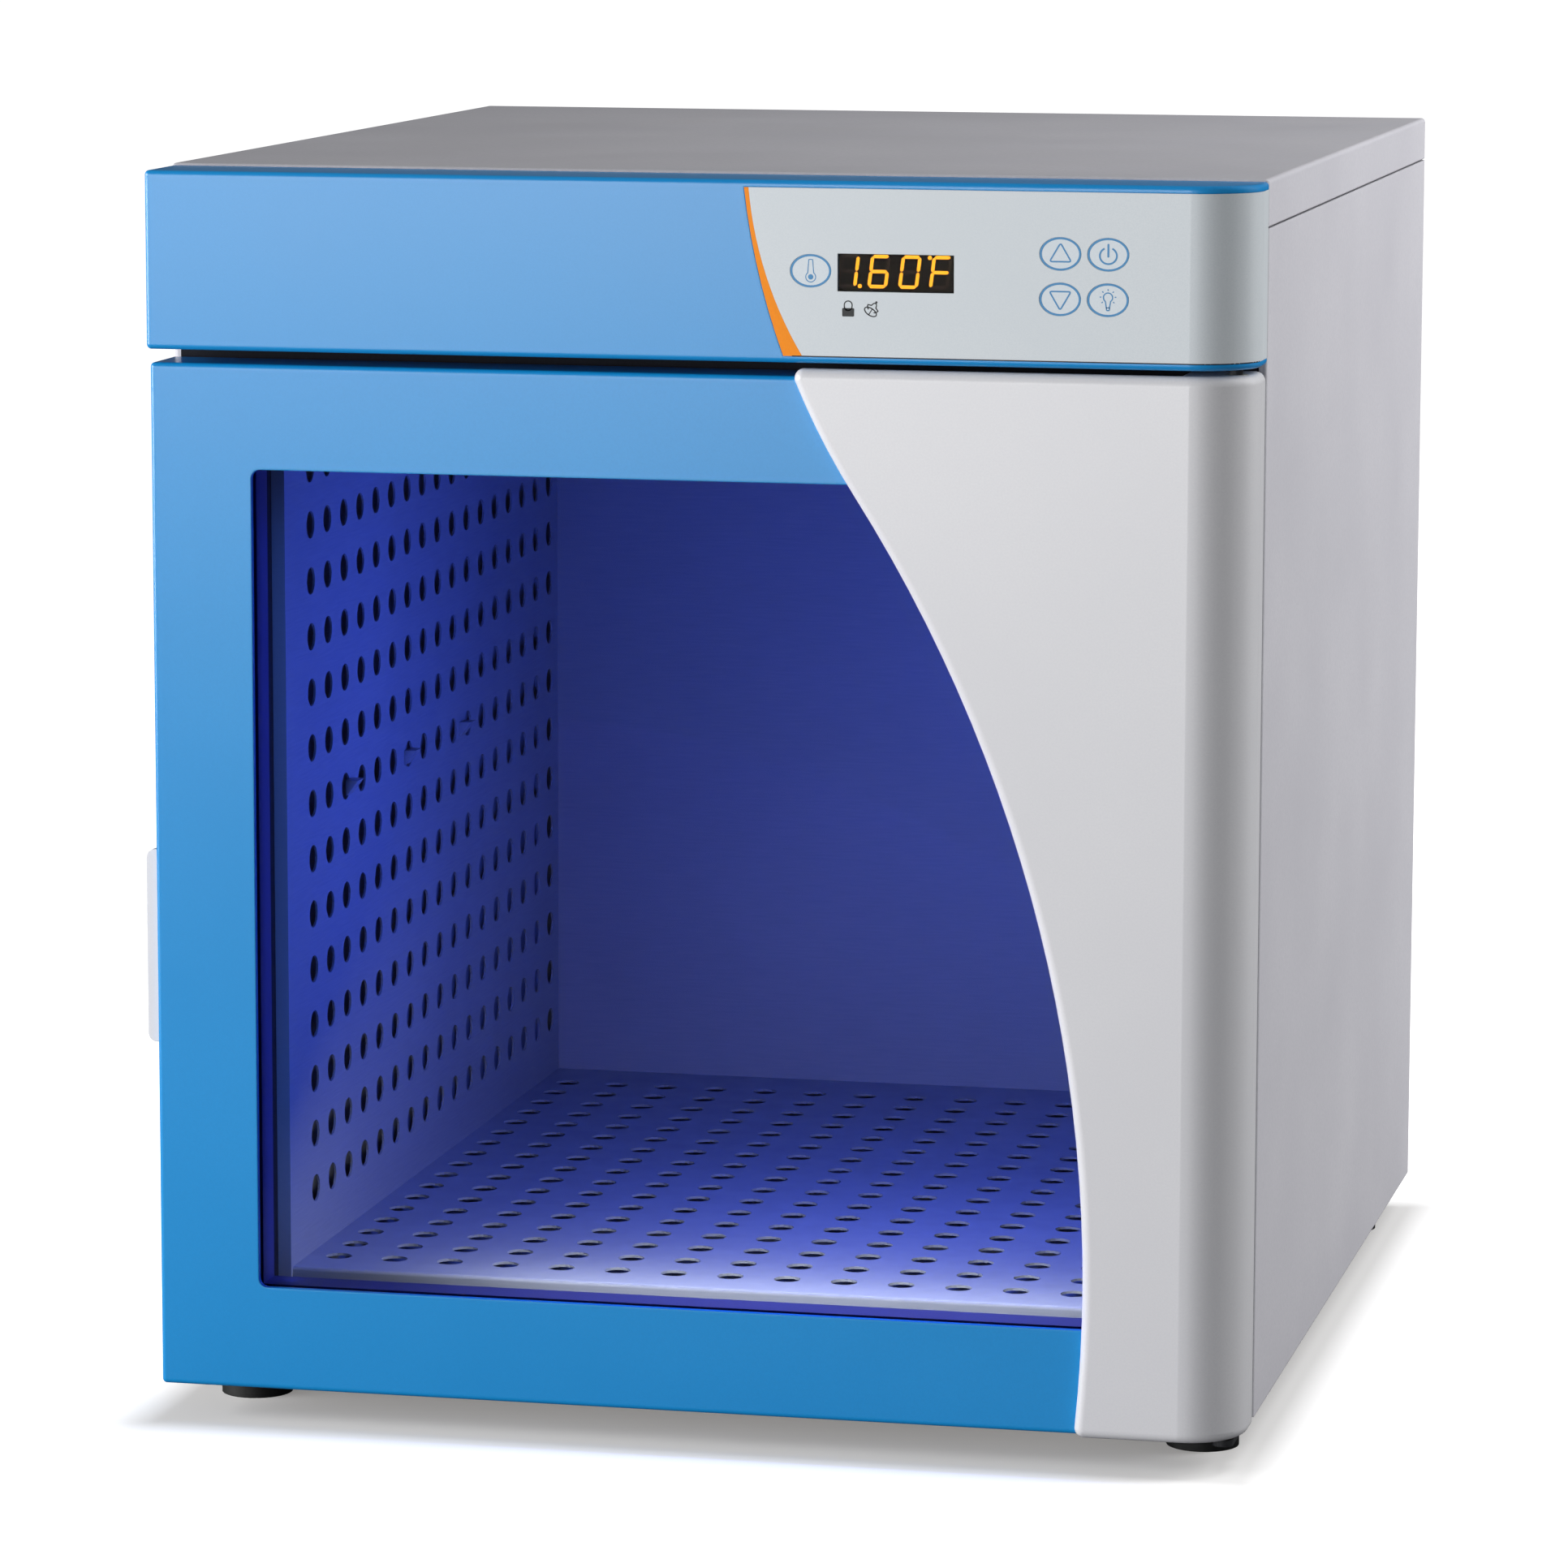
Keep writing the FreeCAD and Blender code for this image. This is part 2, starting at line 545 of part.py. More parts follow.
def front_frame():
    """The black face sheet over the side returns, with a collar round the chamber mouth."""
    edge = f"({SIDE} - frameInset)"
    piece = box("front_frame", f"-{edge}", edge, FACE, FRAME, "footHigh", f"{TOP} - coverHigh - seam")
    collar = piece.sketch("XZ", FRAME)
    piece.rect(collar, "XZ", f"-{JAMB} - sheet", f"{JAMB} + sheet", f"{TUB} - sheet", f"{CEILING} + sheet")
    piece.grow("Pad", collar, "XZ", f"{MOUTH} - {FRAME}")
    mouth = piece.sketch("XZ", FACE)
    piece.rect(mouth, "XZ", f"-{JAMB}", JAMB, TUB, CEILING)
    piece.grow("Pocket", mouth, "XZ", f"{MOUTH} - {FACE}")
    catch = piece.sketch("XZ", FACE)
    catch_outline(piece, catch)
    piece.grow("Pocket", catch, "XZ", "sheet")
    piece.hole("XZ", WINDOWX, WINDOWZ, "displayCable", FACE, "sheet")
    return piece.body


def catch_outline(piece, sketch):
    piece.rect(sketch, "XZ", f"{CATCHX} - catchWide / 2", f"{CATCHX} + catchWide / 2",
               f"{CATCHZ} - catchTall / 2", f"{CATCHZ} + catchTall / 2")


def feet():
    """Four round rubber feet, each counterbored from below for its screw."""
    blocks = []
    for x, y in foot_places():
        block = solid("Cylinder", Radius="footWide / 2", Height="footHigh",
                      Placement_Base_x=x, Placement_Base_y=y)
        bore = solid("Cylinder", Radius="footBore / 2", Height="footHigh / 2",
                     Placement_Base_x=x, Placement_Base_y=y)
        shank = solid("Cylinder", Radius="footScrew / 2", Height="footHigh",
                      Placement_Base_x=x, Placement_Base_y=y)
        tools = doc.addObject("Part::MultiFuse", "FootBores")
        tools.Shapes = [bore, shank]
        cut = doc.addObject("Part::Cut", "Foot")
        cut.Base, cut.Tool = block, tools
        blocks.append(cut)
    return group("feet", blocks)


def foot_screws():
    """A hexagon-head screw in each foot, up through the base pan."""
    screws = []
    for x, y in foot_places():
        shank = solid("Cylinder", Radius="footScrew / 2", Height="footHigh / 2 + screwOver",
                      Placement_Base_x=x, Placement_Base_y=y, Placement_Base_z="footHigh / 2")
        head = solid("Prism", Circumradius="footBore / 2 - screwPlay", Height="screwHead",
                     Placement_Base_x=x, Placement_Base_y=y, Placement_Base_z="footHigh / 2 - screwHead")
        both = doc.addObject("Part::MultiFuse", "FootScrew")
        both.Shapes = [shank, head]
        screws.append(both)
    return group("foot_screws", screws)


def group(label, members):
    """Several alike solids kept in one node."""
    together = doc.addObject("Part::Compound", label)
    together.Label = label
    together.Links = members
    return together


# ---------------------------------------------------------------- chamber
def chamber_wall(label, hand):
    """A side wall of the chamber with a row of lanced shelf supports."""
    inner, outer = f"{hand} * {WALL}", f"{hand} * ({WALL} + liner)"
    piece = Piece(label, (inner, MOUTH, TUB))
    piece.block(inner, outer, MOUTH, BACKWALL, TUB, CEILING)
    tab = piece.sketch("YZ", inner)
    foot_z = "(footHigh + tabHigh)"
    first = f"{MOUTH} + tabPitch"
    last = f"{first} + tabLong"
    piece.loop(tab, "YZ", [(first, foot_z), (last, foot_z), (last, f"{foot_z} + tabRise")])
    wedge = piece.body.newObject("PartDesign::Pad", "Tab")
    wedge.Profile = tab
    wedge.setExpression("Length", bound("tabOut"))
    wedge.Reversed = hand > 0
    doc.recompute()
    piece.array(wedge, "YZ", "H_Axis", "tabPitch", "shelfTabs")
    return piece.body


def duct_tray(label, hand):
    """The shallow tray behind a perforated wall, which makes the warm-air duct."""
    inner, web, outer = f"{hand} * ({WALL} + liner)", f"{hand} * {DUCT}", f"{hand} * {TRAY}"
    piece = Piece(label, (outer, MOUTH, TUB))
    drawn = piece.sketch("XY", TUB)
    piece.loop(drawn, "XY", [
        (inner, MOUTH), (outer, MOUTH), (outer, BACKWALL), (inner, BACKWALL),
        (inner, f"{BACKWALL} - liner"), (web, f"{BACKWALL} - liner"),
        (web, f"{MOUTH} + liner"), (inner, f"{MOUTH} + liner"),
    ])
    piece.grow("Pad", drawn, "XY", f"{CEILING} - {TUB}")
    return piece.body


def chamber_deck():
    """The perforated deck: an inverted tray with side legs and a rolled front lip."""
    front = f"{MOUTH} + deckSetback"
    piece = box("chamber_deck", f"-{WALL}", WALL, front, BACKWALL, TUB, DECK)
    nose_y, nose_z = value(front), value(DECK)
    piece.round("deckNose", lambda middle, size: near(middle.z, nose_z) and near(middle.y, nose_y))
    piece.block(f"-{WALL} + liner", f"{WALL} - liner", f"{front} + liner", BACKWALL,
                TUB, f"{DECK} - liner", kind="Pocket")
    piece.block(f"-{WALL} + liner", f"{WALL} - liner", front, f"{front} + liner",
                TUB, f"{DECK} - deckLip", kind="Pocket")
    return piece.body


def lamp_square(reach):
    """Left, right, front and back levels of a square about the lamp's centre."""
    return (f"lampRight - {reach}", f"lampRight + {reach}", f"{LAMPY} - {reach}", f"{LAMPY} + {reach}")


def ceiling():
    """The chamber's ceiling with the lamp's hole."""
    piece = box("chamber_ceiling", f"-{TRAY}", TRAY, MOUTH, f"{BACKWALL} + liner",
                CEILING, f"{CEILING} + liner")
    piece.block(*lamp_square("lampWide / 2"), CEILING, f"{CEILING} + liner", kind="Pocket")
    return piece.body


def roof_insulation():
    """The pad over the chamber, cored for the lamp housing."""
    piece = box("insulation_top", f"-{PAD}", PAD, MOUTH, BACKSHEET, f"{CEILING} + liner", BAY)
    piece.block(*lamp_square("(lampWide / 2 + lampPlay)"), f"{CEILING} + liner", BAY, kind="Pocket")
    return piece.body


def lamp_housing():
    """A square box above the ceiling with a flange below it, open downwards."""
    low, top = f"{CEILING} - lampWall", f"{CEILING} + lampTall"
    piece = Piece("lamp_housing", ("lampRight", LAMPY, CEILING))
    piece.block(*lamp_square("lampFlange / 2"), low, CEILING)
    piece.block(*lamp_square("lampWide / 2"), CEILING, top)
    piece.block(*lamp_square("(lampWide / 2 - lampWall)"), low, f"{top} - lampWall", kind="Pocket")
    return piece.body


def lamp_lens():
    """The frosted lens in the lamp's mouth, bevelled all round."""
    low = f"{CEILING} - lensDrop"
    piece = Piece("lamp_lens", ("lampRight", LAMPY, CEILING))
    piece.block(*lamp_square("(lampWide / 2 - lampWall)"), low, f"{low} + lensThick")
    rim_z = value(low)
    base, edges = piece.body.Tip, piece.pick(lambda middle, size: near(middle.z, rim_z))
    bevel = piece.body.newObject("PartDesign::Chamfer", "Chamfer")
    bevel.Base = (base, edges)
    bevel.setExpression("Size", bound("lensBevel"))
    doc.recompute()
    return piece.body


def temperature_probe():
    """A sheathed probe that stands out from the chamber's back wall, with its hex collar."""
    sheath = solid("Cylinder", Radius="probeWide / 2", Height="probeLong")
    collar = solid("Prism", Circumradius="probeWide", Height="probeWide / 2")
    for part in (sheath, collar):
        part.Placement.Rotation = FreeCAD.Rotation(V(1, 0, 0), 90)
        part.setExpression("Placement.Base.x", bound("-lampRight"))
        part.setExpression("Placement.Base.y", bound(BACKWALL))
        part.setExpression("Placement.Base.z", bound(SENSORZ))
    collar.Polygon = 6
    probe = doc.addObject("Part::MultiFuse", "temperature_probe")
    probe.Label = "temperature_probe"
    probe.Shapes = [sheath, collar]
    return probe


def limit_thermostat():
    """The high-limit disc thermostat on the chamber's back wall."""
    disc = solid("Cylinder", Radius="discWide / 2", Height="discThick")
    plate = solid("Box", Length="discPlate", Width="liner", Height="discTall")
    disc.Placement.Rotation = FreeCAD.Rotation(V(1, 0, 0), 90)
    for axis, formula in zip("xyz", ("lampRight", f"{BACKWALL} - liner", SENSORZ)):
        disc.setExpression(f"Placement.Base.{axis}", bound(formula))
    corner = ("lampRight - discPlate / 2", f"{BACKWALL} - liner", f"{SENSORZ} - discTall / 2")
    for axis, formula in zip("xyz", corner):
        plate.setExpression(f"Placement.Base.{axis}", bound(formula))
    both = doc.addObject("Part::MultiFuse", "limit_thermostat")
    both.Label = "limit_thermostat"
    both.Shapes = [disc, plate]
    return both


# ---------------------------------------------------------------- the sweeping curve
def sweep_point(z_formula, arc):
    """X of the sweeping curve at a height, on its lower or upper arc."""
    if arc == "lower":
        rise = value(f"({z_formula}) - {SWEEPZ}")
        return value(SWEEPX) + math.sqrt(value("sweepRadius") ** 2 - rise ** 2)
    rise = value(f"{TURNZ} - ({z_formula})")
    return value(TURNX) - math.sqrt(value("sweepTurn") ** 2 - rise ** 2)


def arc_between(centre, radius, start, end):
    """An arc of a circle that runs anticlockwise from start to end."""
    first = math.atan2(start[1] - centre[1], start[0] - centre[0])
    last = math.atan2(end[1] - centre[1], end[0] - centre[0])
    circle = Part.Circle(V(centre[0], centre[1], 0), V(0, 0, 1), radius)
    return Part.ArcOfCircle(circle, first, last)


def hold_arc(piece, sketch, arc, x, z, radius):
    """Tie an arc's centre and radius to formulas."""
    piece.fix(sketch, "DistanceX", arc, 3, piece.local("x", x))
    piece.fix(sketch, "DistanceY", arc, 3, piece.local("z", z))
    index = sketch.addConstraint(Sketcher.Constraint("Radius", arc, value(radius)))
    sketch.setExpression(f"Constraints[{index}]", bound(radius))


def join(sketch, *ends):
    """Close a chain of (geometry, point) ends pairwise."""
    for (a, pa), (b, pb) in zip(ends[::2], ends[1::2]):
        sketch.addConstraint(Sketcher.Constraint("Coincident", a, pa, b, pb))


def segment(sketch, start, end):
    return sketch.addGeometry(Part.LineSegment(V(start[0], start[1], 0), V(end[0], end[1], 0)))


def left_of_sweep(piece, sketch, low, high, left):
    """The region between an upright line and the whole sweeping curve."""
    x0, z0 = value(piece.at["x"]), value(piece.at["z"])
    centre1 = (value(SWEEPX) - x0, value(SWEEPZ) - z0)
    centre2 = (value(TURNX) - x0, value(TURNZ) - z0)
    r1, r2, lean = value("sweepRadius"), value("sweepTurn"), math.radians(value("sweepAngle"))
    foot = (sweep_point(low, "lower") - x0, value(low) - z0)
    turn = (centre1[0] + r1 * math.cos(lean), centre1[1] + r1 * math.sin(lean))
    head = (sweep_point(high, "upper") - x0, value(high) - z0)
    edge = value(left) - x0
    lower = sketch.addGeometry(arc_between(centre1, r1, foot, turn))
    upper = sketch.addGeometry(arc_between(centre2, r2, head, turn))
    top = segment(sketch, head, (edge, head[1]))
    side = segment(sketch, (edge, head[1]), (edge, foot[1]))
    bottom = segment(sketch, (edge, foot[1]), foot)
    join(sketch, (upper, 1), (top, 1), (top, 2), (side, 1), (side, 2), (bottom, 1), (bottom, 2), (lower, 1))
    sketch.addConstraint(Sketcher.Constraint("Tangent", lower, 2, upper, 2))
    hold_arc(piece, sketch, lower, SWEEPX, SWEEPZ, "sweepRadius")
    index = sketch.addConstraint(Sketcher.Constraint("Radius", upper, r2))
    sketch.setExpression(f"Constraints[{index}]", bound("sweepTurn"))
    piece.fix(sketch, "DistanceY", top, 1, piece.local("z", high))
    piece.fix(sketch, "DistanceX", side, 1, piece.local("x", left))
    piece.fix(sketch, "DistanceY", side, 1, piece.local("z", high))
    piece.fix(sketch, "DistanceX", side, 2, piece.local("x", left))
    piece.fix(sketch, "DistanceY", side, 2, piece.local("z", low))
    piece.fix(sketch, "DistanceY", bottom, 2, piece.local("z", low))
    turn_z = f"{SWEEPZ} + sweepRadius * sin(sweepAngle)"
    piece.fix(sketch, "DistanceY", lower, 2, piece.local("z", turn_z))


def left_of_arc(piece, sketch, x, z, radius, low, high, left):
    """The region between an upright line and one arc that bulges to the left."""
    x0, z0 = value(piece.at["x"]), value(piece.at["z"])
    cx, cz, r = value(x) - x0, value(z) - z0, value(radius)
    zs = [value(low) - z0, value(high) - z0]
    foot, head = [(cx - math.sqrt(r ** 2 - (level - cz) ** 2), level) for level in zs]
    edge = value(left) - x0
    curve = sketch.addGeometry(arc_between((cx, cz), r, head, foot))
    bottom = segment(sketch, foot, (edge, foot[1]))
    side = segment(sketch, (edge, foot[1]), (edge, head[1]))
    top = segment(sketch, (edge, head[1]), head)
    join(sketch, (curve, 2), (bottom, 1), (bottom, 2), (side, 1), (side, 2), (top, 1), (top, 2), (curve, 1))
    hold_arc(piece, sketch, curve, x, z, radius)
    piece.fix(sketch, "DistanceY", curve, 1, piece.local("z", high))
    piece.fix(sketch, "DistanceY", curve, 2, piece.local("z", low))
    piece.fix(sketch, "DistanceX", side, 1, piece.local("x", left))
    piece.fix(sketch, "DistanceY", side, 1, piece.local("z", low))
    piece.fix(sketch, "DistanceX", side, 2, piece.local("x", left))
    piece.fix(sketch, "DistanceY", side, 2, piece.local("z", high))


# ---------------------------------------------------------------- header
def wrap_strip(piece, sketch, left, outside, inside):
    """A strip in plan that follows the front and turns the right-hand corner.

    It reaches outside the header's outline by one distance and inside it by another."""
    x0, y0 = value(piece.at["x"]), value(piece.at["y"])
    out, depth = value(outside), value(inside)
    edge = value(left) - x0
    mid_x, mid_y = value(f"{SIDE} - corner") - x0, value(f"{FRONT} + corner") - y0
    side, front, back = value(SIDE) - x0, value(FRONT) - y0, value(FACE) - y0
    radius = value("corner")
    rows = {
        "side_out": (side + out, back), "turn_out": (side + out, mid_y),
        "bend_out": (mid_x, front - out), "end_out": (edge, front - out),
        "end_in": (edge, front + depth), "bend_in": (mid_x, front + depth),
        "turn_in": (side - depth, mid_y), "side_in": (side - depth, back),
    }
    outer = sketch.addGeometry(arc_between((mid_x, mid_y), radius + out, rows["bend_out"], rows["turn_out"]))
    inner = sketch.addGeometry(arc_between((mid_x, mid_y), radius - depth, rows["bend_in"], rows["turn_in"]))

    def straight(start, end):
        return segment(sketch, rows[start], rows[end])

    flank, face = straight("side_out", "turn_out"), straight("bend_out", "end_out")
    tip, inner_face = straight("end_out", "end_in"), straight("end_in", "bend_in")
    inner_flank, back_end = straight("turn_in", "side_in"), straight("side_in", "side_out")
    join(sketch, (flank, 2), (outer, 2), (outer, 1), (face, 1), (face, 2), (tip, 1),
         (tip, 2), (inner_face, 1), (inner_face, 2), (inner, 1), (inner, 2), (inner_flank, 1),
         (inner_flank, 2), (back_end, 1), (back_end, 2), (flank, 1))
    places = {
        (flank, 1): (f"{SIDE} + ({outside})", FACE),
        (flank, 2): (f"{SIDE} + ({outside})", f"{FRONT} + corner"),
        (face, 1): (f"{SIDE} - corner", f"{FRONT} - ({outside})"),
        (face, 2): (left, f"{FRONT} - ({outside})"),
        (tip, 2): (left, f"{FRONT} + ({inside})"),
        (inner_face, 2): (f"{SIDE} - corner", f"{FRONT} + ({inside})"),
        (inner_flank, 1): (f"{SIDE} - ({inside})", f"{FRONT} + corner"),
        (inner_flank, 2): (f"{SIDE} - ({inside})", FACE),
    }
    for (line, point), (x, y) in places.items():
        piece.fix(sketch, "DistanceX", line, point, piece.local("x", x))
        piece.fix(sketch, "DistanceY", line, point, piece.local("y", y))
    for arc, reach in ((outer, f"corner + ({outside})"), (inner, f"corner - ({inside})")):
        index = sketch.addConstraint(Sketcher.Constraint("Radius", arc, value(reach)))
        sketch.setExpression(f"Constraints[{index}]", bound(reach))


def key_places():
    """Name and centre of each key."""
    right, upper = f"{KEYSX} + keyPitchX", f"{KEYSZ} + keyPitchZ"
    return [
        ("key_temperature", MODEX, MODEZ),
        ("key_up", KEYSX, upper),
        ("key_power", right, upper),
        ("key_down", KEYSX, KEYSZ),
        ("key_light", right, KEYSZ),
    ]


def oval(x, z, start, length, grow):
    """An elliptical plug along Y, larger than a key by an amount all round."""
    ring = doc.addObject("Part::Ellipse", "Oval")
    ring.setExpression("MajorRadius", bound(f"keyWide / 2 + ({grow})"))
    ring.setExpression("MinorRadius", bound(f"keyTall / 2 + ({grow})"))
    ring.Placement.Rotation = FreeCAD.Rotation(V(1, 0, 0), 90)
    for axis, formula in zip("xyz", (x, start, z)):
        ring.setExpression(f"Placement.Base.{axis}", bound(formula))
    plug = doc.addObject("Part::Extrusion", "OvalPlug")
    plug.Base = ring
    plug.DirMode = "Custom"
    plug.Dir = V(0, 1, 0)
    plug.setExpression("LengthFwd", bound(length))
    plug.Solid = True
    return plug


def key_apertures():
    """The five oval holes that the overlay and the header's front wall share."""
    holes = doc.addObject("Part::Compound", "KeyApertures")
    start, depth = f"{FRONT} - overlay", "headWall + 2 * overlay"
    holes.Links = [oval(x, z, start, depth, "keyGap") for name, x, z in key_places()]
    return holes


def pierce(label, piece, apertures):
    """The piece with the key holes cut through it."""
    piece.body.Label = label + "_blank"
    cut = doc.addObject("Part::Cut", label)
    cut.Label = label
    cut.Base, cut.Tool = piece.body, apertures
    return cut


def window_hole(piece, depth):
    """The display window's cut-out."""
    drawn = piece.sketch("XZ", FRONT)
    piece.rect(drawn, "XZ", f"{WINDOWX} - windowWide / 2", f"{WINDOWX} + windowWide / 2",
               f"{WINDOWZ} - windowTall / 2", f"{WINDOWZ} + windowTall / 2")
    piece.grow("Pocket", drawn, "XZ", depth)


def header(apertures):
    """The blue moulded header: a shell open towards the case, recessed for the overlay."""
    piece = box("header", f"-{SIDE}", SIDE, FRONT, FACE, HEADLOW, HEADTOP)
    piece.block(f"-{SIDE} + headShell", f"{SIDE} - headShell", f"{FRONT} + headWall", FACE,
                f"{HEADLOW} + headShell", f"{HEADTOP} - headShell", kind="Pocket")
    inner_x, inner_y = value(f"{SIDE} - headShell"), value(f"{FRONT} + headWall")

    def inner_corner(m, size):
        return near(m.x, inner_x) and near(m.y, inner_y) and size.ZLength > 1

    piece.round("corner - headWall", inner_corner)
    half, front = value(SIDE), value(FRONT)
    low, top = value(HEADLOW), value(HEADTOP)
    piece.round("corner", lambda m, size: near(m.x, half) and near(m.y, front) and size.ZLength > 1)

    def soft(m, size):
        rim = near(m.z, low) or near(m.z, top)
        front_rim = rim and m.y < value(FACE) - 1
        return front_rim or (near(m.x, -half) and near(m.y, front))

    piece.round("softEdge", soft)
    recess = piece.sketch("XY", OVERLOW)
    wrap_strip(piece, recess, BAND, "overlay", "overlay")
    piece.grow("Pocket", recess, "XY", "overlayHigh")
    infill = piece.sketch("XZ", FRONT)
    left_of_arc(piece, infill, TURNX, TURNZ, "sweepTurn", OVERLOW, OVERTOP, BAND)
    piece.grow("Pad", infill, "XZ", "overlay")
    window_hole(piece, "headWall")
    for x, z in board_corners():
        piece.hole("XZ", x, z, "bossWide", f"{FRONT} + headWall", "boardBack - headWall", kind="Pad")
    piece.hole("XY", PIVOTX, PIVOTY, "pinWide + 2 * pinEntry", HEADLOW, "headShell")
    return pierce("header", piece, apertures)


def control_overlay(apertures):
    """The silver overlay that lies in the header's recess and wraps the corner."""
    piece = Piece("control_overlay", (BAND, FRONT, OVERLOW))
    drawn = piece.sketch("XY", OVERLOW)
    wrap_strip(piece, drawn, BAND, "0", "overlay")
    piece.grow("Pad", drawn, "XY", "overlayHigh")
    trim = piece.sketch("XZ", FRONT)
    left_of_arc(piece, trim, BANDX, BANDZ, "bandRadius", OVERLOW, OVERTOP, f"{BAND} - overlay")
    piece.grow("Pocket", trim, "XZ", "overlay")
    window_hole(piece, "overlay")
    return pierce("control_overlay", piece, apertures)


def accent_band():
    """The orange sweep between the blue header and the overlay."""
    piece = Piece("accent_band", (BAND, FRONT, OVERLOW))
    whole = piece.sketch("XZ", FRONT)
    left_of_arc(piece, whole, BANDX, BANDZ, "bandRadius", OVERLOW, OVERTOP, BAND)
    piece.grow("Pad", whole, "XZ", "overlay")
    trim = piece.sketch("XZ", FRONT)
    left_of_arc(piece, trim, TURNX, TURNZ, "sweepTurn", OVERLOW, OVERTOP, f"{BAND} - overlay")
    piece.grow("Pocket", trim, "XZ", "overlay")
    return piece.body


def board_edges():
    """Left, right, lower and upper edges of the control board."""
    reach = "(keyTall + boardMargin)"
    return (f"{MODEX} - boardSpare", f"{KEYSX} + keyPitchX + boardSpare",
            f"{KEYSZ} - {reach}", f"{KEYSZ} + keyPitchZ + {reach}")


def board_corners():
    left, right, low, high = board_edges()
    across = (f"{left} + bossInset", f"{right} - bossInset")
    up = (f"{low} + bossInset", f"{high} - bossInset")
    return [(x, z) for x in across for z in up]


def control_board():
    """The circuit board on the header's four bosses."""
    left, right, low, high = board_edges()
    back = f"{FRONT} + boardBack"
    piece = box("control_board", left, right, back, f"{back} + boardThick", low, high)
    corners = {(value(x), value(z)) for x in (left, right) for z in (low, high)}

    def upright(m, size):
        return size.YLength > 1 and any(near(m.x, x) and near(m.z, z) for x, z in corners)

    piece.round("boardCorner", upright)
    return piece.body


def key_switches():
    """A tact switch on the board behind every key."""
    front = f"{FRONT} + boardBack - switchDeep"
    cubes = []
    for name, x, z in key_places():
        cube = solid("Box", Length="switchWide", Width="switchDeep", Height="switchWide")
        for axis, formula in zip("xyz", (f"{x} - switchWide / 2", front, f"{z} - switchWide / 2")):
            cube.setExpression(f"Placement.Base.{axis}", bound(formula))
        cubes.append(cube)
    return group("key_switches", cubes)


def key(name, x, z):
    """An oval key: cap, retaining plate behind the wall, and a stem to its switch."""
    behind = f"{FRONT} + headWall + keyGap"
    cap = oval(x, z, FRONT, "headWall + keyGap", "0")
    flange = solid("Box", Length="keyWide + 2 * keyLip", Height="keyTall + 2 * keyLip", Width="overlay")
    stem = solid("Box", Length="keyStem", Height="keyStem",
                 Width="boardBack - switchDeep - keyTravel - switchPlay - headWall - keyGap")
    for part, wide, tall in ((flange, "keyWide + 2 * keyLip", "keyTall + 2 * keyLip"),
                             (stem, "keyStem", "keyStem")):
        corner = (f"{x} - ({wide}) / 2", behind, f"{z} - ({tall}) / 2")
        for axis, formula in zip("xyz", corner):
            part.setExpression(f"Placement.Base.{axis}", bound(formula))
    whole = doc.addObject("Part::MultiFuse", name)
    whole.Label = name
    whole.Shapes = [cap, flange, stem]
    return whole


# ---------------------------------------------------------------- door
def door_shell():
    """The blue door moulding: a pan open at the back with the window cut through its face."""
    piece = box("door_shell", f"-{SIDE}", STILE, BLUE, DOORBACK, DOORLOW, DOORTOP)
    half, front, low, top = value(SIDE), value(BLUE), value(DOORLOW), value(DOORTOP)
    back = value(DOORBACK)

    def soft(m, size):
        outline = near(m.x, -half) or near(m.z, low) or near(m.z, top)
        face_edge = near(m.y, front) and outline
        depth_edge = near(m.x, -half) and (near(m.z, low) or near(m.z, top)) and not near(m.y, back)
        return face_edge or depth_edge

    piece.round("softEdge", soft)
    piece.block(f"-{SIDE} + doorWall", f"{STILE} - doorWall", f"{BLUE} + doorWall", DOORBACK,
                f"{DOORLOW} + doorWall", f"{DOORTOP} - doorWall", kind="Pocket")
    view = piece.sketch("XZ", BLUE)
    piece.rect(view, "XZ", f"-{VIEW}", VIEW, VIEWLOW, VIEWTOP)
    piece.grow("Pocket", view, "XZ", "doorWall")
    left, bottom, upper = value(VIEW), value(VIEWLOW), value(VIEWTOP)
    corners = [(x, z) for x in (-left, left) for z in (bottom, upper)]

    def view_corner(m, size):
        return size.YLength > 1 and any(near(m.x, x) and near(m.z, z) for x, z in corners)

    piece.round("viewCorner", view_corner)
    return piece.body


def door_liner():
    """The dark liner ring behind the glass, flared towards the chamber."""
    piece = box("door_liner", f"-{SIDE} + doorWall", f"{STILE} - doorWall", GLASSBACK, DOORBACK,
                f"{DOORLOW} + doorWall", f"{DOORTOP} - doorWall")
    mouth = piece.sketch("XZ", GLASSBACK)
    piece.rect(mouth, "XZ", f"-{VIEW}", VIEW, VIEWLOW, VIEWTOP)
    piece.grow("Pocket", mouth, "XZ", f"{DOORBACK} - ({GLASSBACK})")
    back, left = value(DOORBACK), value(VIEW)
    low, upper = value(VIEWLOW), value(VIEWTOP)

    def mouth_rim(m, size):
        inside = abs(m.x) < left + 0.1 and low - 0.1 < m.z < upper + 0.1
        return near(m.y, back) and inside

    base, edges = piece.body.Tip, piece.pick(mouth_rim)
    flare = piece.body.newObject("PartDesign::Chamfer", "Chamfer")
    flare.Base = (base, edges)
    flare.ChamferType = "Two distances"
    flare.setExpression("Size", bound("linerSplay"))
    flare.setExpression("Size2", bound("linerFlare"))
    doc.recompute()
    strike = piece.sketch("XZ", f"{DOORBACK} - sheet")
    catch_outline(piece, strike)
    piece.grow("Pocket", strike, "XZ", "sheet")
    return piece.body


def catch_block(label, y0, y1):
    return box(label, f"{CATCHX} - catchWide / 2", f"{CATCHX} + catchWide / 2", y0, y1,
               f"{CATCHZ} - catchTall / 2", f"{CATCHZ} + catchTall / 2").body


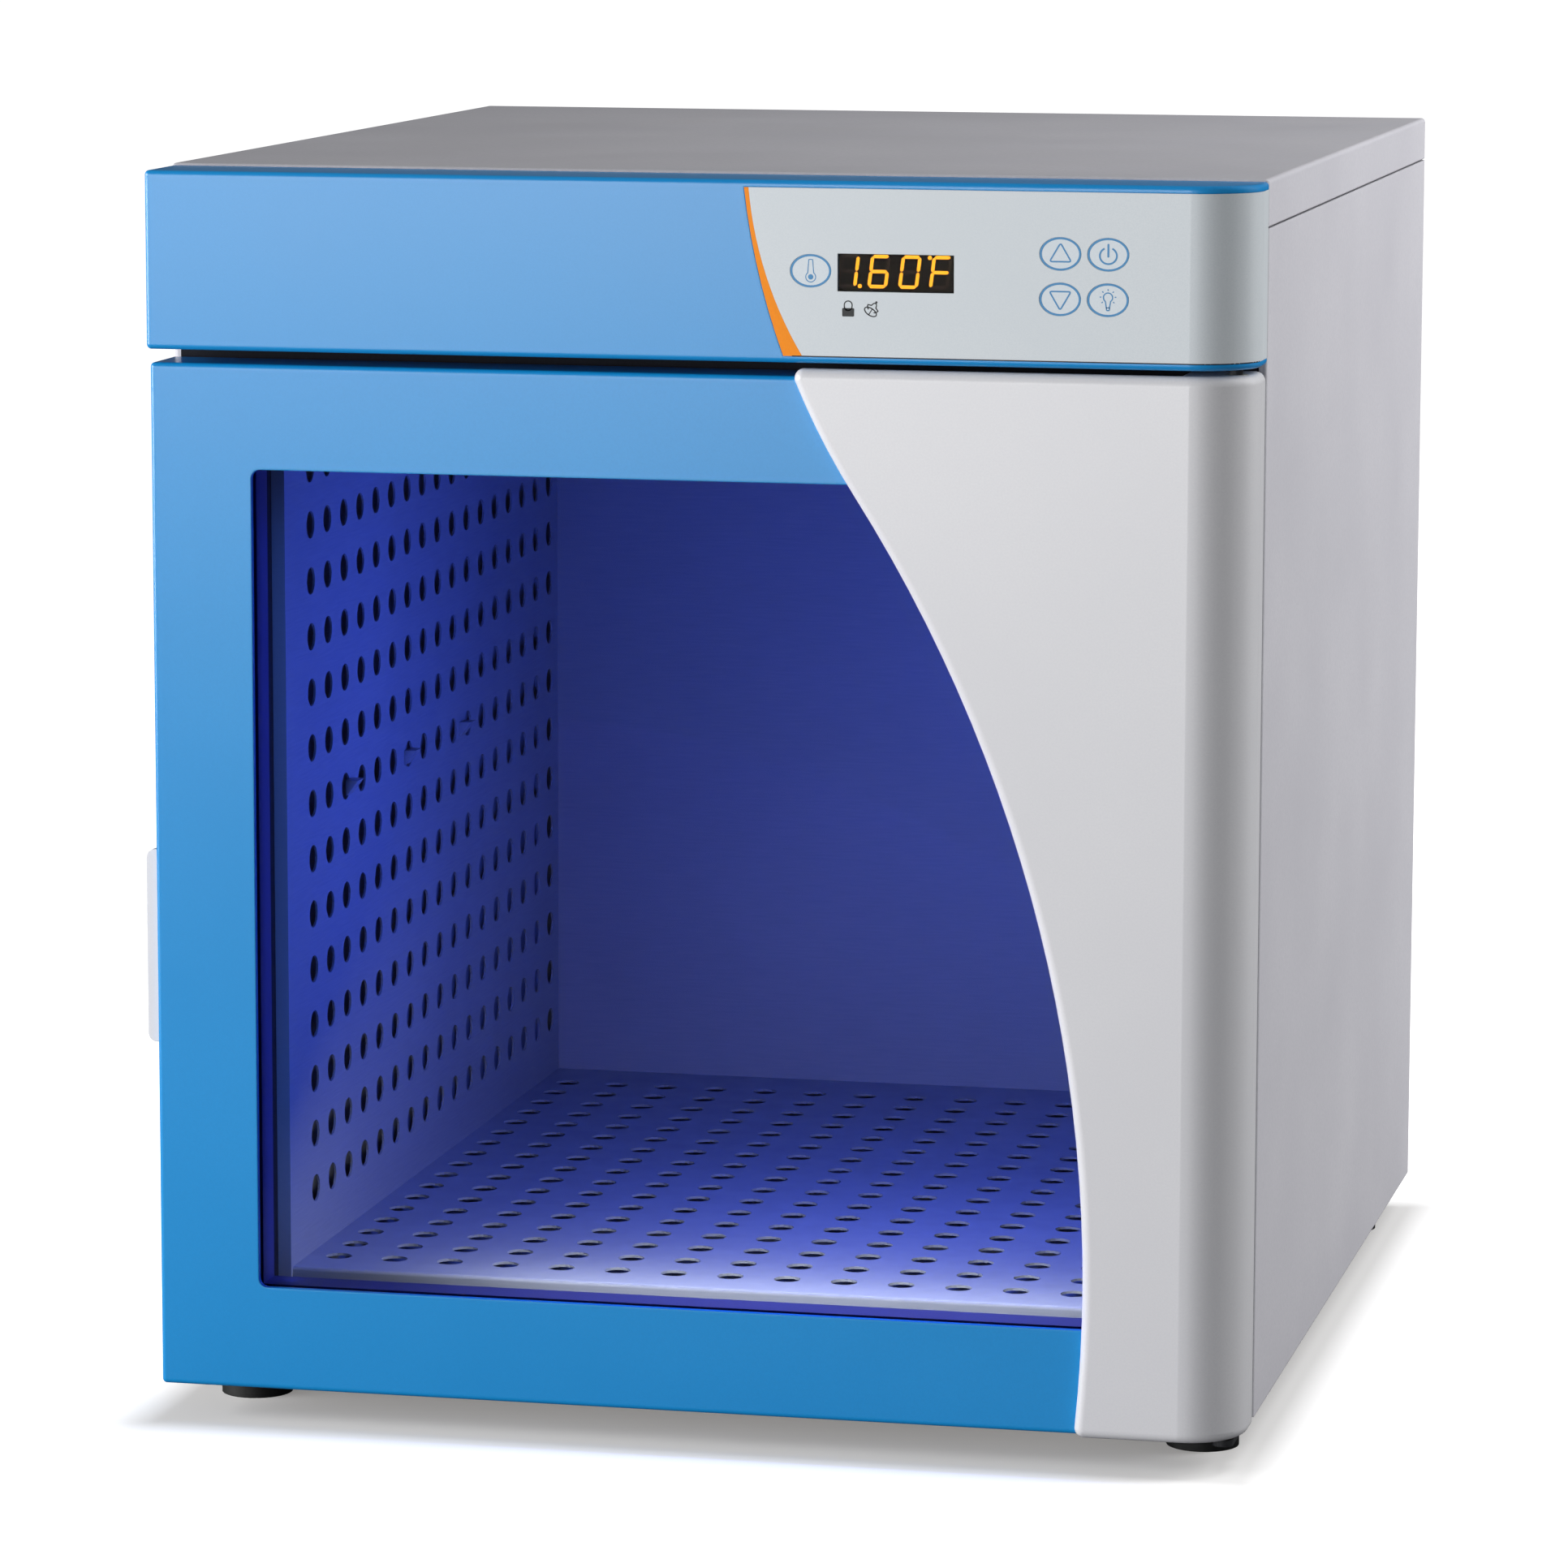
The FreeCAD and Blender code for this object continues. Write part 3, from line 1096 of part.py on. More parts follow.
def ring(label, wide, low, high, width, y0, y1):
    """A flat rectangular ring round the window or the chamber's mouth."""
    piece = box(label, f"-({wide})", wide, y0, y1, low, high)
    inner = piece.sketch("XZ", y0)
    piece.rect(inner, "XZ", f"-({wide}) + {width}", f"{wide} - {width}",
               f"{low} + {width}", f"{high} - {width}")
    piece.grow("Pocket", inner, "XZ", f"({y1}) - ({y0})")
    return piece.body


def curved_panel():
    """The white panel: full depth at the pivot side, with a skin that sweeps over the door's face."""
    piece = Piece("curved_panel", (STILE, FRONT, PANELLOW))
    drawn = piece.sketch("XY", PANELLOW)
    piece.loop(drawn, "XY", [
        (BAND, FRONT), (SIDE, FRONT), (SIDE, DOORBACK), (STILE, DOORBACK), (STILE, BLUE), (BAND, BLUE),
    ])
    piece.grow("Pad", drawn, "XY", f"{PANELTOP} - {PANELLOW}")
    half, front, back = value(SIDE), value(FRONT), value(DOORBACK)
    piece.round("corner", lambda m, size: near(m.x, half) and near(m.y, front) and size.ZLength > 1)
    sweep = piece.sketch("XZ", FRONT)
    left_of_sweep(piece, sweep, PANELLOW, PANELTOP, f"{BAND} - overlay")
    piece.grow("Pocket", sweep, "XZ", "doorStep")

    def face_rim(m, size):
        rim = near(m.z, value(PANELLOW)) or near(m.z, value(PANELTOP))
        on_front = near(m.y, front)
        outer = rim and m.y < back - 1 and m.x > value(f"{SIDE} - corner") - 0.1
        skin_corner = rim and size.YLength > 1 and m.x < value(STILE)
        return on_front or outer or skin_corner

    piece.round("panelEdge", face_rim)
    for level in (PANELLOW, f"{PANELTOP} - bushLong"):
        piece.hole("XY", PIVOTX, PIVOTY, "bushWide", level, "bushLong")
    return piece.body


def hinge_bushes():
    """A plain nylon bush in each end of the white panel."""
    bushes = []
    for level in (PANELLOW, f"{PANELTOP} - bushLong"):
        outer = solid("Cylinder", Radius="bushWide / 2", Height="bushLong",
                      Placement_Base_x=PIVOTX, Placement_Base_y=PIVOTY, Placement_Base_z=level)
        bore = solid("Cylinder", Radius="pinWide / 2 + pinPlay", Height="bushLong",
                     Placement_Base_x=PIVOTX, Placement_Base_y=PIVOTY, Placement_Base_z=level)
        bush = doc.addObject("Part::Cut", "Bush")
        bush.Base, bush.Tool = outer, bore
        bushes.append(bush)
    return group("hinge_bushes", bushes)


def hinge_arm(piece, level):
    """The arm that carries a pivot pin: straight from the case, round about the pin."""
    drawn = piece.sketch("XY", level)
    piece.rect(drawn, "XY", f"{PIVOTX} - hingeArm / 2", f"{PIVOTX} + hingeArm / 2", PIVOTY, FACE)
    piece.grow("Pad", drawn, "XY", "hingePlate")
    piece.hole("XY", PIVOTX, PIVOTY, "hingeArm", level, "hingePlate", kind="Pad")


def upper_hinge():
    """The bracket inside the header with the pin that drops into the door."""
    level = f"{HEADLOW} + headShell"
    piece = Piece("hinge_bracket_top", (PIVOTX, PIVOTY, level))
    edge = f"{PIVOTX} + bushWide / 2"
    piece.block(f"{edge} - hingeLeaf", edge, f"{FACE} - hingePlate", FACE, level, f"{level} + hingeRise")
    hinge_arm(piece, level)
    tip = f"{PANELTOP} - pinReach"
    piece.hole("XY", PIVOTX, PIVOTY, "pinWide", tip, f"{level} - ({tip})", kind="Pad")
    return piece.body


def lower_hinge():
    """The bracket under the case with the pin that stands up into the door."""
    level = "footHigh - hingeDrop - hingePlate"
    piece = Piece("hinge_bracket_bottom", (PIVOTX, PIVOTY, level))
    edge = f"{PIVOTX} + bushWide / 2"
    piece.block(f"{edge} - hingeFoot", edge, FACE, f"{FACE} + hingeDrop + hingePlate", level, "footHigh")
    hinge_arm(piece, level)
    piece.hole("XY", PIVOTX, PIVOTY, "pinWide", f"{level} + hingePlate",
               f"{PANELLOW} + pinReach - ({level} + hingePlate)", kind="Pad")
    return piece.body


def door_handle():
    """The white edge pull: a base plate with a lip to hook the fingers behind."""
    edge = f"-{SIDE}"
    front = f"{FRONT} + handleFront"
    piece = Piece("door_handle", (edge, front, HANDLELOW))
    drawn = piece.sketch("XY", HANDLELOW)
    piece.loop(drawn, "XY", [
        (edge, front),
        (f"{edge} - handleOut", front),
        (f"{edge} - handleOut", f"{front} + handleLip"),
        (f"{edge} - handlePlate", f"{front} + handleLip"),
        (f"{edge} - handlePlate", f"{front} + handleDeep"),
        (edge, f"{front} + handleDeep"),
    ])
    piece.grow("Pad", drawn, "XY", "handleLong")
    out = value(f"{edge} - handleOut")
    ends = (value(HANDLELOW), value(f"{HANDLELOW} + handleLong"))
    piece.round("handleLip", lambda m, size: near(m.x, out) and any(near(m.z, z) for z in ends))
    return piece.body


# ---------------------------------------------------------------- bay over the chamber
def power_supply():
    """The enclosed supply on the bay floor: a grooved case with a mounting ear at each end."""
    left, back = f"(supplyInset - {SIDE})", f"({REAR} - supplyBack)"
    right, front = f"{left} + supplyWide", f"({back} - supplyDeep)"
    top = f"({BAYFLOOR} + supplyTall)"
    piece = box("power_supply", left, right, front, back, BAYFLOOR, top)
    piece.block(left, right, f"{front} - supplyEar", f"{back} + supplyEar",
                BAYFLOOR, f"{BAYFLOOR} + supplyPlate")
    slot = piece.sketch("XY", f"{top} - supplyPlate")
    piece.rect(slot, "XY", f"{left} + grooveInset", f"{right} - grooveInset",
               f"{front} + grooveStart", f"{front} + grooveStart + grooveWide")
    first = piece.grow("Pocket", slot, "XY", "supplyPlate")
    piece.array(first, "XY", "V_Axis", "groovePitch", "grooveCount")
    return piece.body


def relay():
    """The heater relay in its socket."""
    left, right = "-relayLeft - relayWide / 2", "-relayLeft + relayWide / 2"
    front, back = f"{REAR} - relayBack - relayDeep / 2", f"{REAR} - relayBack + relayDeep / 2"
    piece = box("heater_relay", left, right, front, back, BAYFLOOR, f"{BAYFLOOR} + relayBase")
    piece.block(f"{left} + relayInset", f"{right} - relayInset", f"{front} + relayInset",
                f"{back} - relayInset", f"{BAYFLOOR} + relayBase", f"{BAYFLOOR} + relayTall")
    return piece.body


def terminal_block():
    """The terminal block: a base with raised partitions between its ways."""
    left, top = "terminalRight", f"({BAYFLOOR} + terminalBase)"
    right = f"{left} + terminalPitch * (terminalCount - 1) + terminalRib"
    front, back = f"{REAR} - terminalBack - terminalDeep / 2", f"{REAR} - terminalBack + terminalDeep / 2"
    piece = box("terminal_block", left, right, front, back, BAYFLOOR, top)
    rib = piece.sketch("XY", top)
    piece.rect(rib, "XY", left, f"{left} + terminalRib", front, back)
    first = piece.grow("Pad", rib, "XY", "terminalRise")
    piece.array(first, "XY", "H_Axis", "terminalPitch", "terminalCount")
    return piece.body


def power_inlet():
    """The recessed inlet socket with its three contacts."""
    out = f"{REAR} - sheet"
    left, right = f"{INLETX} - inletWide / 2", f"{INLETX} + inletWide / 2"
    low, high = f"{INLETZ} - inletTall / 2", f"{INLETZ} + inletTall / 2"
    piece = box("power_inlet", left, right, f"{out} - inletDeep", out, low, high)
    piece.block(f"{left} - inletLip", f"{right} + inletLip", out, REAR,
                f"{low} - inletLip", f"{high} + inletLip")
    floor = f"{REAR} - socketDeep"
    piece.block(f"{INLETX} - socketWide / 2", f"{INLETX} + socketWide / 2", floor, REAR,
                f"{INLETZ} - socketTall / 2", f"{INLETZ} + socketTall / 2", kind="Pocket")
    spots = [
        (f"{INLETX} - contactPitch", f"{INLETZ} - contactStep"),
        (INLETX, f"{INLETZ} + contactStep"),
        (f"{INLETX} + contactPitch", f"{INLETZ} - contactStep"),
    ]
    for x, z in spots:
        piece.block(f"{x} - contactWide / 2", f"{x} + contactWide / 2", floor, f"{floor} + contactLong",
                    f"{z} - contactTall / 2", f"{z} + contactTall / 2")
    return piece.body


# ---------------------------------------------------------------- the assembly
def sheet_pieces():
    """Flat sheets and pads that are plain boxes."""
    back_in, low = f"{BACKWALL} + liner", f"{TUB} - liner"
    inside = f"({INSIDE} - baseSheet)"
    between_feet = f"({SIDE} - footInset - footBore)"
    nodes = [
        box("chamber_rear", f"-{TRAY}", TRAY, BACKWALL, back_in, TUB, CEILING).body,
        box("chamber_bottom", f"-{TRAY}", TRAY, MOUTH, back_in, low, TUB).body,
        box("bay_floor", f"-{inside}", inside, BEHIND, BACKSHEET, BAY, BAYFLOOR).body,
        box("insulation_bottom", f"-{between_feet}", between_feet, MOUTH, f"{BACKSHEET} - baseSheet",
            "footHigh + baseSheet", low).body,
        box("insulation_rear", f"-{PAD}", PAD, back_in, BACKSHEET, low, f"{CEILING} + liner").body,
    ]
    for name, hand in (("left", -1), ("right", 1)):
        pad, mat = [f"{hand} * {PAD}", f"{hand} * {INSIDE}"], [f"{hand} * {TRAY}", f"{hand} * {PAD}"]
        if hand < 0:
            pad.reverse()
            mat.reverse()
        nodes.append(box(f"insulation_{name}", *pad, MOUTH, BACKSHEET, "footHigh + panFlange", BAY).body)
        nodes.append(box(f"heater_{name}", *mat, f"{MOUTH} + heaterInset", f"{BACKWALL} - heaterInset",
                         f"{TUB} + heaterRise", f"{CEILING} - heaterDrop").body)
    return nodes


def display_pieces():
    """The smoked window and the numeric display behind it."""
    left, right = f"{WINDOWX} - windowWide / 2", f"{WINDOWX} + windowWide / 2"
    low, high = f"{WINDOWZ} - windowTall / 2", f"{WINDOWZ} + windowTall / 2"
    wall = f"{FRONT} + headWall"
    return [
        box("display_window", left, right, FRONT, wall, low, high).body,
        box("display_module", left, right, wall, f"{FRONT} + boardBack", low, high).body,
    ]


def glazing_pieces():
    lap_wide = f"{VIEW} + glassLap"
    low, high = f"{VIEWLOW} - glassLap", f"{VIEWTOP} + glassLap"
    jamb = f"{JAMB} + gasketOut"
    return [
        box("window_glass", f"-({lap_wide})", lap_wide, GLASS, GLASSBACK, low, high).body,
        ring("glazing_seal", lap_wide, low, high, "gasketWide", f"{BLUE} + doorWall", GLASS),
        ring("door_gasket", jamb, f"{TUB} - gasketOut", f"{CEILING} + gasketOut", "gasketWide",
             DOORBACK, f"{DOORBACK} + gasketThick"),
    ]


apertures = key_apertures()
nodes = [
    side_panel("side_panel_left", -1),
    side_panel("side_panel_right", 1),
    top_cover(),
    top_rail("top_rail_left", -1),
    top_rail("top_rail_right", 1),
    base_pan(),
    rear_panel(),
    front_frame(),
    feet(),
    foot_screws(),
    chamber_wall("chamber_wall_left", -1),
    chamber_wall("chamber_wall_right", 1),
    duct_tray("duct_tray_left", -1),
    duct_tray("duct_tray_right", 1),
    chamber_deck(),
    ceiling(),
    roof_insulation(),
    lamp_housing(),
    lamp_lens(),
    temperature_probe(),
    limit_thermostat(),
    header(apertures),
    control_overlay(apertures),
    accent_band(),
    control_board(),
    key_switches(),
    door_shell(),
    door_liner(),
    curved_panel(),
    hinge_bushes(),
    upper_hinge(),
    lower_hinge(),
    door_handle(),
    catch_block("catch_magnet", f"{DOORBACK} + catchGap", f"{DOORBACK} + catchGap + catchDeep"),
    catch_block("strike_plate", f"{DOORBACK} - sheet", DOORBACK),
    power_supply(),
    relay(),
    terminal_block(),
    power_inlet(),
]
nodes += sheet_pieces()
nodes += display_pieces()
nodes += glazing_pieces()
nodes += [key(name, x, z) for name, x, z in key_places()]
doc.recompute()

for thing in doc.Objects:
    if {"Invalid", "Error"} & set(thing.State):
        parents = [parent.Label for parent in thing.InList]
        raise RuntimeError(f"{thing.Label} of {parents} failed: {thing.getStatusString()}")
for node in nodes:
    if node.Shape.isNull() or not node.Shape.isValid():
        raise RuntimeError(f"{node.Label} has no valid shape")
for node in nodes:
    node.Shape.exportStep(f"parts/{node.Label}.step")
print(len(nodes), "nodes written")
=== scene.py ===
import json
import math

import bpy
from mathutils import Matrix, Vector


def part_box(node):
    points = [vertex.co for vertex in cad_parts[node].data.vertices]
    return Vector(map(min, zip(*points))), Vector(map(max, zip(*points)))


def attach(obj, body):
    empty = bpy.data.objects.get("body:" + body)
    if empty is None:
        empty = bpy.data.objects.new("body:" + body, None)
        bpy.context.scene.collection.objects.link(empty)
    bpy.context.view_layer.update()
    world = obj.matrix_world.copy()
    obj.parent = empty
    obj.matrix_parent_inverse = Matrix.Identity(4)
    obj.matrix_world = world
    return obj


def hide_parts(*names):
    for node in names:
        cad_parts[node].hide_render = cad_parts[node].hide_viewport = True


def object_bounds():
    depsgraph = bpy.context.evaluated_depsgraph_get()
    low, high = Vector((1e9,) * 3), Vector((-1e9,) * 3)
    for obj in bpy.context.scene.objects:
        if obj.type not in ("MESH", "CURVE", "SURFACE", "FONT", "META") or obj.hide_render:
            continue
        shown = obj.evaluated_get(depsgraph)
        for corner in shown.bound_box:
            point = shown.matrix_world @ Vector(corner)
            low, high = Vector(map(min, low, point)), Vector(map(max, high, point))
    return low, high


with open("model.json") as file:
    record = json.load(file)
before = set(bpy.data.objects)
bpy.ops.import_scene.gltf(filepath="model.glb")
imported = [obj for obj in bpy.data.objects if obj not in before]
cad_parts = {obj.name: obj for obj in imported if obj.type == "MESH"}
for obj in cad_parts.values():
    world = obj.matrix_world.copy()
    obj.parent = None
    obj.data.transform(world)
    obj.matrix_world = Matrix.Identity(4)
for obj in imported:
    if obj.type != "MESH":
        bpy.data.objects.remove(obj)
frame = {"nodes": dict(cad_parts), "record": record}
nodes = frame["nodes"]
cad_low, cad_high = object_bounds()

MM = 0.001
SAME_POINT = 0.002 * MM
NEAR = 0.01 * MM


# ---------------------------------------------------------------------------
# Bench tools: selecting and finishing
# ---------------------------------------------------------------------------

def leave_edit():
    """Back to object mode from edit mode."""
    if bpy.context.mode != "OBJECT":
        bpy.ops.object.mode_set(mode="OBJECT")


def clear_bench():
    """Object mode with nothing selected, so the next operator touches only its own piece."""
    leave_edit()
    bpy.ops.object.select_all(action="DESELECT")


def take(piece):
    """Makes one piece the only one selected, and the active one."""
    clear_bench()
    piece.select_set(True)
    bpy.context.view_layer.objects.active = piece
    return piece


def named(name):
    """The piece that has just been added, under its own name."""
    piece = bpy.context.active_object
    piece.name = name
    piece.data.name = name
    return piece


def pick_faces(piece, wanted):
    """Selects the faces whose middle and normal pass, in edit mode."""
    bpy.ops.object.mode_set(mode="EDIT")
    bpy.ops.mesh.select_mode(type="FACE")
    bpy.ops.mesh.select_all(action="DESELECT")
    bpy.ops.object.mode_set(mode="OBJECT")
    for face in piece.data.polygons:
        face.select = bool(wanted(face.center, face.normal))
    bpy.ops.object.mode_set(mode="EDIT")


def pick_points(piece, wanted):
    """Selects the points whose place passes, in edit mode."""
    bpy.ops.object.mode_set(mode="EDIT")
    bpy.ops.mesh.select_mode(type="VERT")
    bpy.ops.mesh.select_all(action="DESELECT")
    bpy.ops.object.mode_set(mode="OBJECT")
    for point in piece.data.vertices:
        point.select = bool(wanted(point.co))
    bpy.ops.object.mode_set(mode="EDIT")


def outward(piece):
    """Merges doubles and turns every face outwards."""
    take(piece)
    bpy.ops.object.mode_set(mode="EDIT")
    bpy.ops.mesh.select_all(action="SELECT")
    bpy.ops.mesh.remove_doubles(threshold=SAME_POINT)
    bpy.ops.mesh.normals_make_consistent(inside=False)
    leave_edit()


def settle(piece):
    """Puts the place, turn and size of the object into its mesh."""
    take(piece)
    bpy.ops.object.transform_apply(location=True, rotation=True, scale=True)
    return piece


def add_modifier(piece, kind, **settings):
    """Adds a modifier with its settings and applies it."""
    take(piece)
    modifier = piece.modifiers.new(kind.title(), kind)
    for setting, value in settings.items():
        setattr(modifier, setting, value)
    bpy.ops.object.modifier_apply(modifier=modifier.name)


def join(name, pieces):
    """One piece out of several, under a name of its own."""
    clear_bench()
    for piece in pieces:
        piece.select_set(True)
    bpy.context.view_layer.objects.active = pieces[0]
    if len(pieces) > 1:
        bpy.ops.object.join()
    return named(name)


def dress(piece, finish, body):
    """Gives a new piece its finish and its body."""
    piece.data.materials.clear()
    piece.data.materials.append(finish)
    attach(piece, body)
    return piece


# ---------------------------------------------------------------------------
# Shader node groups shared by several finishes
# ---------------------------------------------------------------------------

def new_group(name, inputs, outputs):
    """A node group with named sockets; inputs give (name, kind, value)."""
    tree = bpy.data.node_groups.new(name, "ShaderNodeTree")
    for label, kind, value in inputs:
        socket = tree.interface.new_socket(label, in_out="INPUT", socket_type=kind)
        if value is not None:
            socket.default_value = value
    for label, kind in outputs:
        tree.interface.new_socket(label, in_out="OUTPUT", socket_type=kind)
    return tree, tree.nodes.new("NodeGroupInput"), tree.nodes.new("NodeGroupOutput")


def add_node(tree, kind, **settings):
    """A shader node with its settings."""
    node = tree.nodes.new(kind)
    for setting, value in settings.items():
        setattr(node, setting, value)
    return node


def noise(tree, place, scale, detail=3.0, roughness=0.5):
    """A noise value over a place; the scale may be a number or a socket."""
    node = add_node(tree, "ShaderNodeTexNoise")
    node.inputs["Detail"].default_value = detail
    node.inputs["Roughness"].default_value = roughness
    tree.links.new(place, node.inputs["Vector"])
    if isinstance(scale, (int, float)):
        node.inputs["Scale"].default_value = scale
    else:
        tree.links.new(scale, node.inputs["Scale"])
    return node.outputs["Fac"]


def mapped(tree, value, low, high):
    """A 0 to 1 value spread between two others, numbers or sockets."""
    node = add_node(tree, "ShaderNodeMapRange")
    tree.links.new(value, node.inputs["Value"])
    for socket, end in (("To Min", low), ("To Max", high)):
        if isinstance(end, (int, float)):
            node.inputs[socket].default_value = end
        else:
            tree.links.new(end, node.inputs[socket])
    return node.outputs["Result"]


def sharpened(tree, value, low, high):
    """A value stretched so that low becomes 0 and high becomes 1."""
    node = add_node(tree, "ShaderNodeMapRange")
    node.inputs["From Min"].default_value = low
    node.inputs["From Max"].default_value = high
    tree.links.new(value, node.inputs["Value"])
    return node.outputs["Result"]


def arithmetic(tree, operation, first, second):
    """One operation on two values, numbers or sockets."""
    node = add_node(tree, "ShaderNodeMath", operation=operation)
    for socket, value in zip(node.inputs, (first, second)):
        if isinstance(value, (int, float)):
            socket.default_value = value
        else:
            tree.links.new(value, socket)
    return node.outputs["Value"]


def blended(tree, factor, first, second):
    """A mix of two colours by a socket; each may be a colour or a socket."""
    node = add_node(tree, "ShaderNodeMix", data_type="RGBA")
    tree.links.new(factor, node.inputs[0])
    for socket, colour in ((node.inputs[6], first), (node.inputs[7], second)):
        if isinstance(colour, tuple):
            socket.default_value = colour
        else:
            tree.links.new(colour, socket)
    return node.outputs[2]


def bumped(tree, height, strength, distance, normal=None):
    """A normal roughened by a height, on top of another normal if one is given."""
    node = add_node(tree, "ShaderNodeBump")
    tree.links.new(height, node.inputs["Height"])
    for socket, value in (("Strength", strength), ("Distance", distance)):
        if isinstance(value, (int, float)):
            node.inputs[socket].default_value = value
        else:
            tree.links.new(value, node.inputs[socket])
    if normal is not None:
        tree.links.new(normal, node.inputs["Normal"])
    return node.outputs["Normal"]


def make_skin():
    """Sprayed coat or moulded skin: fine grain, slow drift of colour and gloss, softened edges."""
    tree, given, put = new_group(
        "skin",
        [
            ("Place", "NodeSocketVector", None),
            ("Colour", "NodeSocketColor", (0.8, 0.8, 0.8, 1.0)),
            ("Shade", "NodeSocketColor", (0.7, 0.7, 0.7, 1.0)),
            ("Grain", "NodeSocketFloat", 700.0),
            ("Depth", "NodeSocketFloat", 0.15),
            ("Gloss low", "NodeSocketFloat", 0.35),
            ("Gloss high", "NodeSocketFloat", 0.5),
            ("Edge", "NodeSocketFloat", 0.0006),
        ],
        [
            ("Colour", "NodeSocketColor"),
            ("Roughness", "NodeSocketFloat"),
            ("Normal", "NodeSocketVector"),
        ],
    )
    place = given.outputs["Place"]
    drift = noise(tree, place, 9.0, 4.0, 0.55)
    fine = noise(tree, place, given.outputs["Grain"], 2.0, 0.5)
    mottle = arithmetic(tree, "MULTIPLY", drift, fine)
    mottle = sharpened(tree, mottle, 0.12, 0.42)
    colour = blended(tree, mottle, given.outputs["Shade"], given.outputs["Colour"])
    tree.links.new(colour, put.inputs["Colour"])
    gloss = mapped(tree, drift, given.outputs["Gloss low"], given.outputs["Gloss high"])
    tree.links.new(gloss, put.inputs["Roughness"])
    edge = add_node(tree, "ShaderNodeBevel", samples=4)
    tree.links.new(given.outputs["Edge"], edge.inputs["Radius"])
    normal = bumped(tree, fine, given.outputs["Depth"], 0.0002, edge.outputs["Normal"])
    tree.links.new(normal, put.inputs["Normal"])
    return tree


def make_dust():
    """Fine dust that lies on faces that look up, in soft patches."""
    tree, given, put = new_group(
        "settled_dust",
        [
            ("Place", "NodeSocketVector", None),
            ("Facing", "NodeSocketVector", None),
            ("Under", "NodeSocketColor", (0.5, 0.5, 0.5, 1.0)),
            ("Dust", "NodeSocketColor", (0.55, 0.53, 0.5, 1.0)),
            ("Amount", "NodeSocketFloat", 0.2),
        ],
        [("Colour", "NodeSocketColor"), ("Mask", "NodeSocketFloat")],
    )
    split = add_node(tree, "ShaderNodeSeparateXYZ")
    tree.links.new(given.outputs["Facing"], split.inputs["Vector"])
    up = sharpened(tree, split.outputs["Z"], 0.2, 1.0)
    patches = noise(tree, given.outputs["Place"], 22.0, 6.0, 0.65)
    patches = sharpened(tree, patches, 0.35, 0.7)
    mask = arithmetic(tree, "MULTIPLY", up, patches)
    mask = arithmetic(tree, "MULTIPLY", mask, given.outputs["Amount"])
    tree.links.new(mask, put.inputs["Mask"])
    colour = blended(tree, mask, given.outputs["Under"], given.outputs["Dust"])
    tree.links.new(colour, put.inputs["Colour"])
    return tree


def make_rolled_metal():
    """Sheet metal with fine lines of rolling or brushing along one direction."""
    tree, given, put = new_group(
        "rolled_metal",
        [
            ("Place", "NodeSocketVector", None),
            ("Colour", "NodeSocketColor", (0.6, 0.6, 0.62, 1.0)),
            ("Dull", "NodeSocketColor", (0.4, 0.4, 0.42, 1.0)),
            ("Lines", "NodeSocketVector", (1.0, 40.0, 40.0)),
            ("Gloss low", "NodeSocketFloat", 0.25),
            ("Gloss high", "NodeSocketFloat", 0.45),
            ("Depth", "NodeSocketFloat", 0.1),
        ],
        [
            ("Colour", "NodeSocketColor"),
            ("Roughness", "NodeSocketFloat"),
            ("Normal", "NodeSocketVector"),
        ],
    )
    stretch = add_node(tree, "ShaderNodeMapping")
    tree.links.new(given.outputs["Place"], stretch.inputs["Vector"])
    tree.links.new(given.outputs["Lines"], stretch.inputs["Scale"])
    lines = noise(tree, stretch.outputs["Vector"], 60.0, 4.0, 0.6)
    cloud = noise(tree, given.outputs["Place"], 7.0, 3.0, 0.5)
    both = arithmetic(tree, "ADD", lines, cloud)
    both = sharpened(tree, both, 0.6, 1.4)
    colour = blended(tree, both, given.outputs["Dull"], given.outputs["Colour"])
    tree.links.new(colour, put.inputs["Colour"])
    gloss = mapped(tree, both, given.outputs["Gloss high"], given.outputs["Gloss low"])
    tree.links.new(gloss, put.inputs["Roughness"])
    normal = bumped(tree, lines, given.outputs["Depth"], 0.0002)
    tree.links.new(normal, put.inputs["Normal"])
    return tree


def make_fibre():
    """Matted wool: strands, tufts and hollows."""
    tree, given, put = new_group(
        "matted_fibre",
        [
            ("Place", "NodeSocketVector", None),
            ("Colour", "NodeSocketColor", (0.75, 0.72, 0.6, 1.0)),
            ("Hollow", "NodeSocketColor", (0.4, 0.36, 0.26, 1.0)),
            ("Tufts", "NodeSocketFloat", 90.0),
        ],
        [
            ("Colour", "NodeSocketColor"),
            ("Normal", "NodeSocketVector"),
        ],
    )
    place = given.outputs["Place"]
    strands = add_node(tree, "ShaderNodeMapping")
    strands.inputs["Scale"].default_value = (1.0, 1.0, 7.0)
    tree.links.new(place, strands.inputs["Vector"])
    fine = noise(tree, strands.outputs["Vector"], 240.0, 6.0, 0.7)
    tufts = noise(tree, place, given.outputs["Tufts"], 4.0, 0.6)
    both = arithmetic(tree, "MULTIPLY", fine, tufts)
    both = sharpened(tree, both, 0.1, 0.4)
    colour = blended(tree, both, given.outputs["Hollow"], given.outputs["Colour"])
    tree.links.new(colour, put.inputs["Colour"])
    normal = bumped(tree, both, 0.8, 0.002)
    tree.links.new(normal, put.inputs["Normal"])
    return tree


SKIN = make_skin()
DUST = make_dust()
METAL = make_rolled_metal()
FIBRE = make_fibre()


# ---------------------------------------------------------------------------
# Finishes
# ---------------------------------------------------------------------------

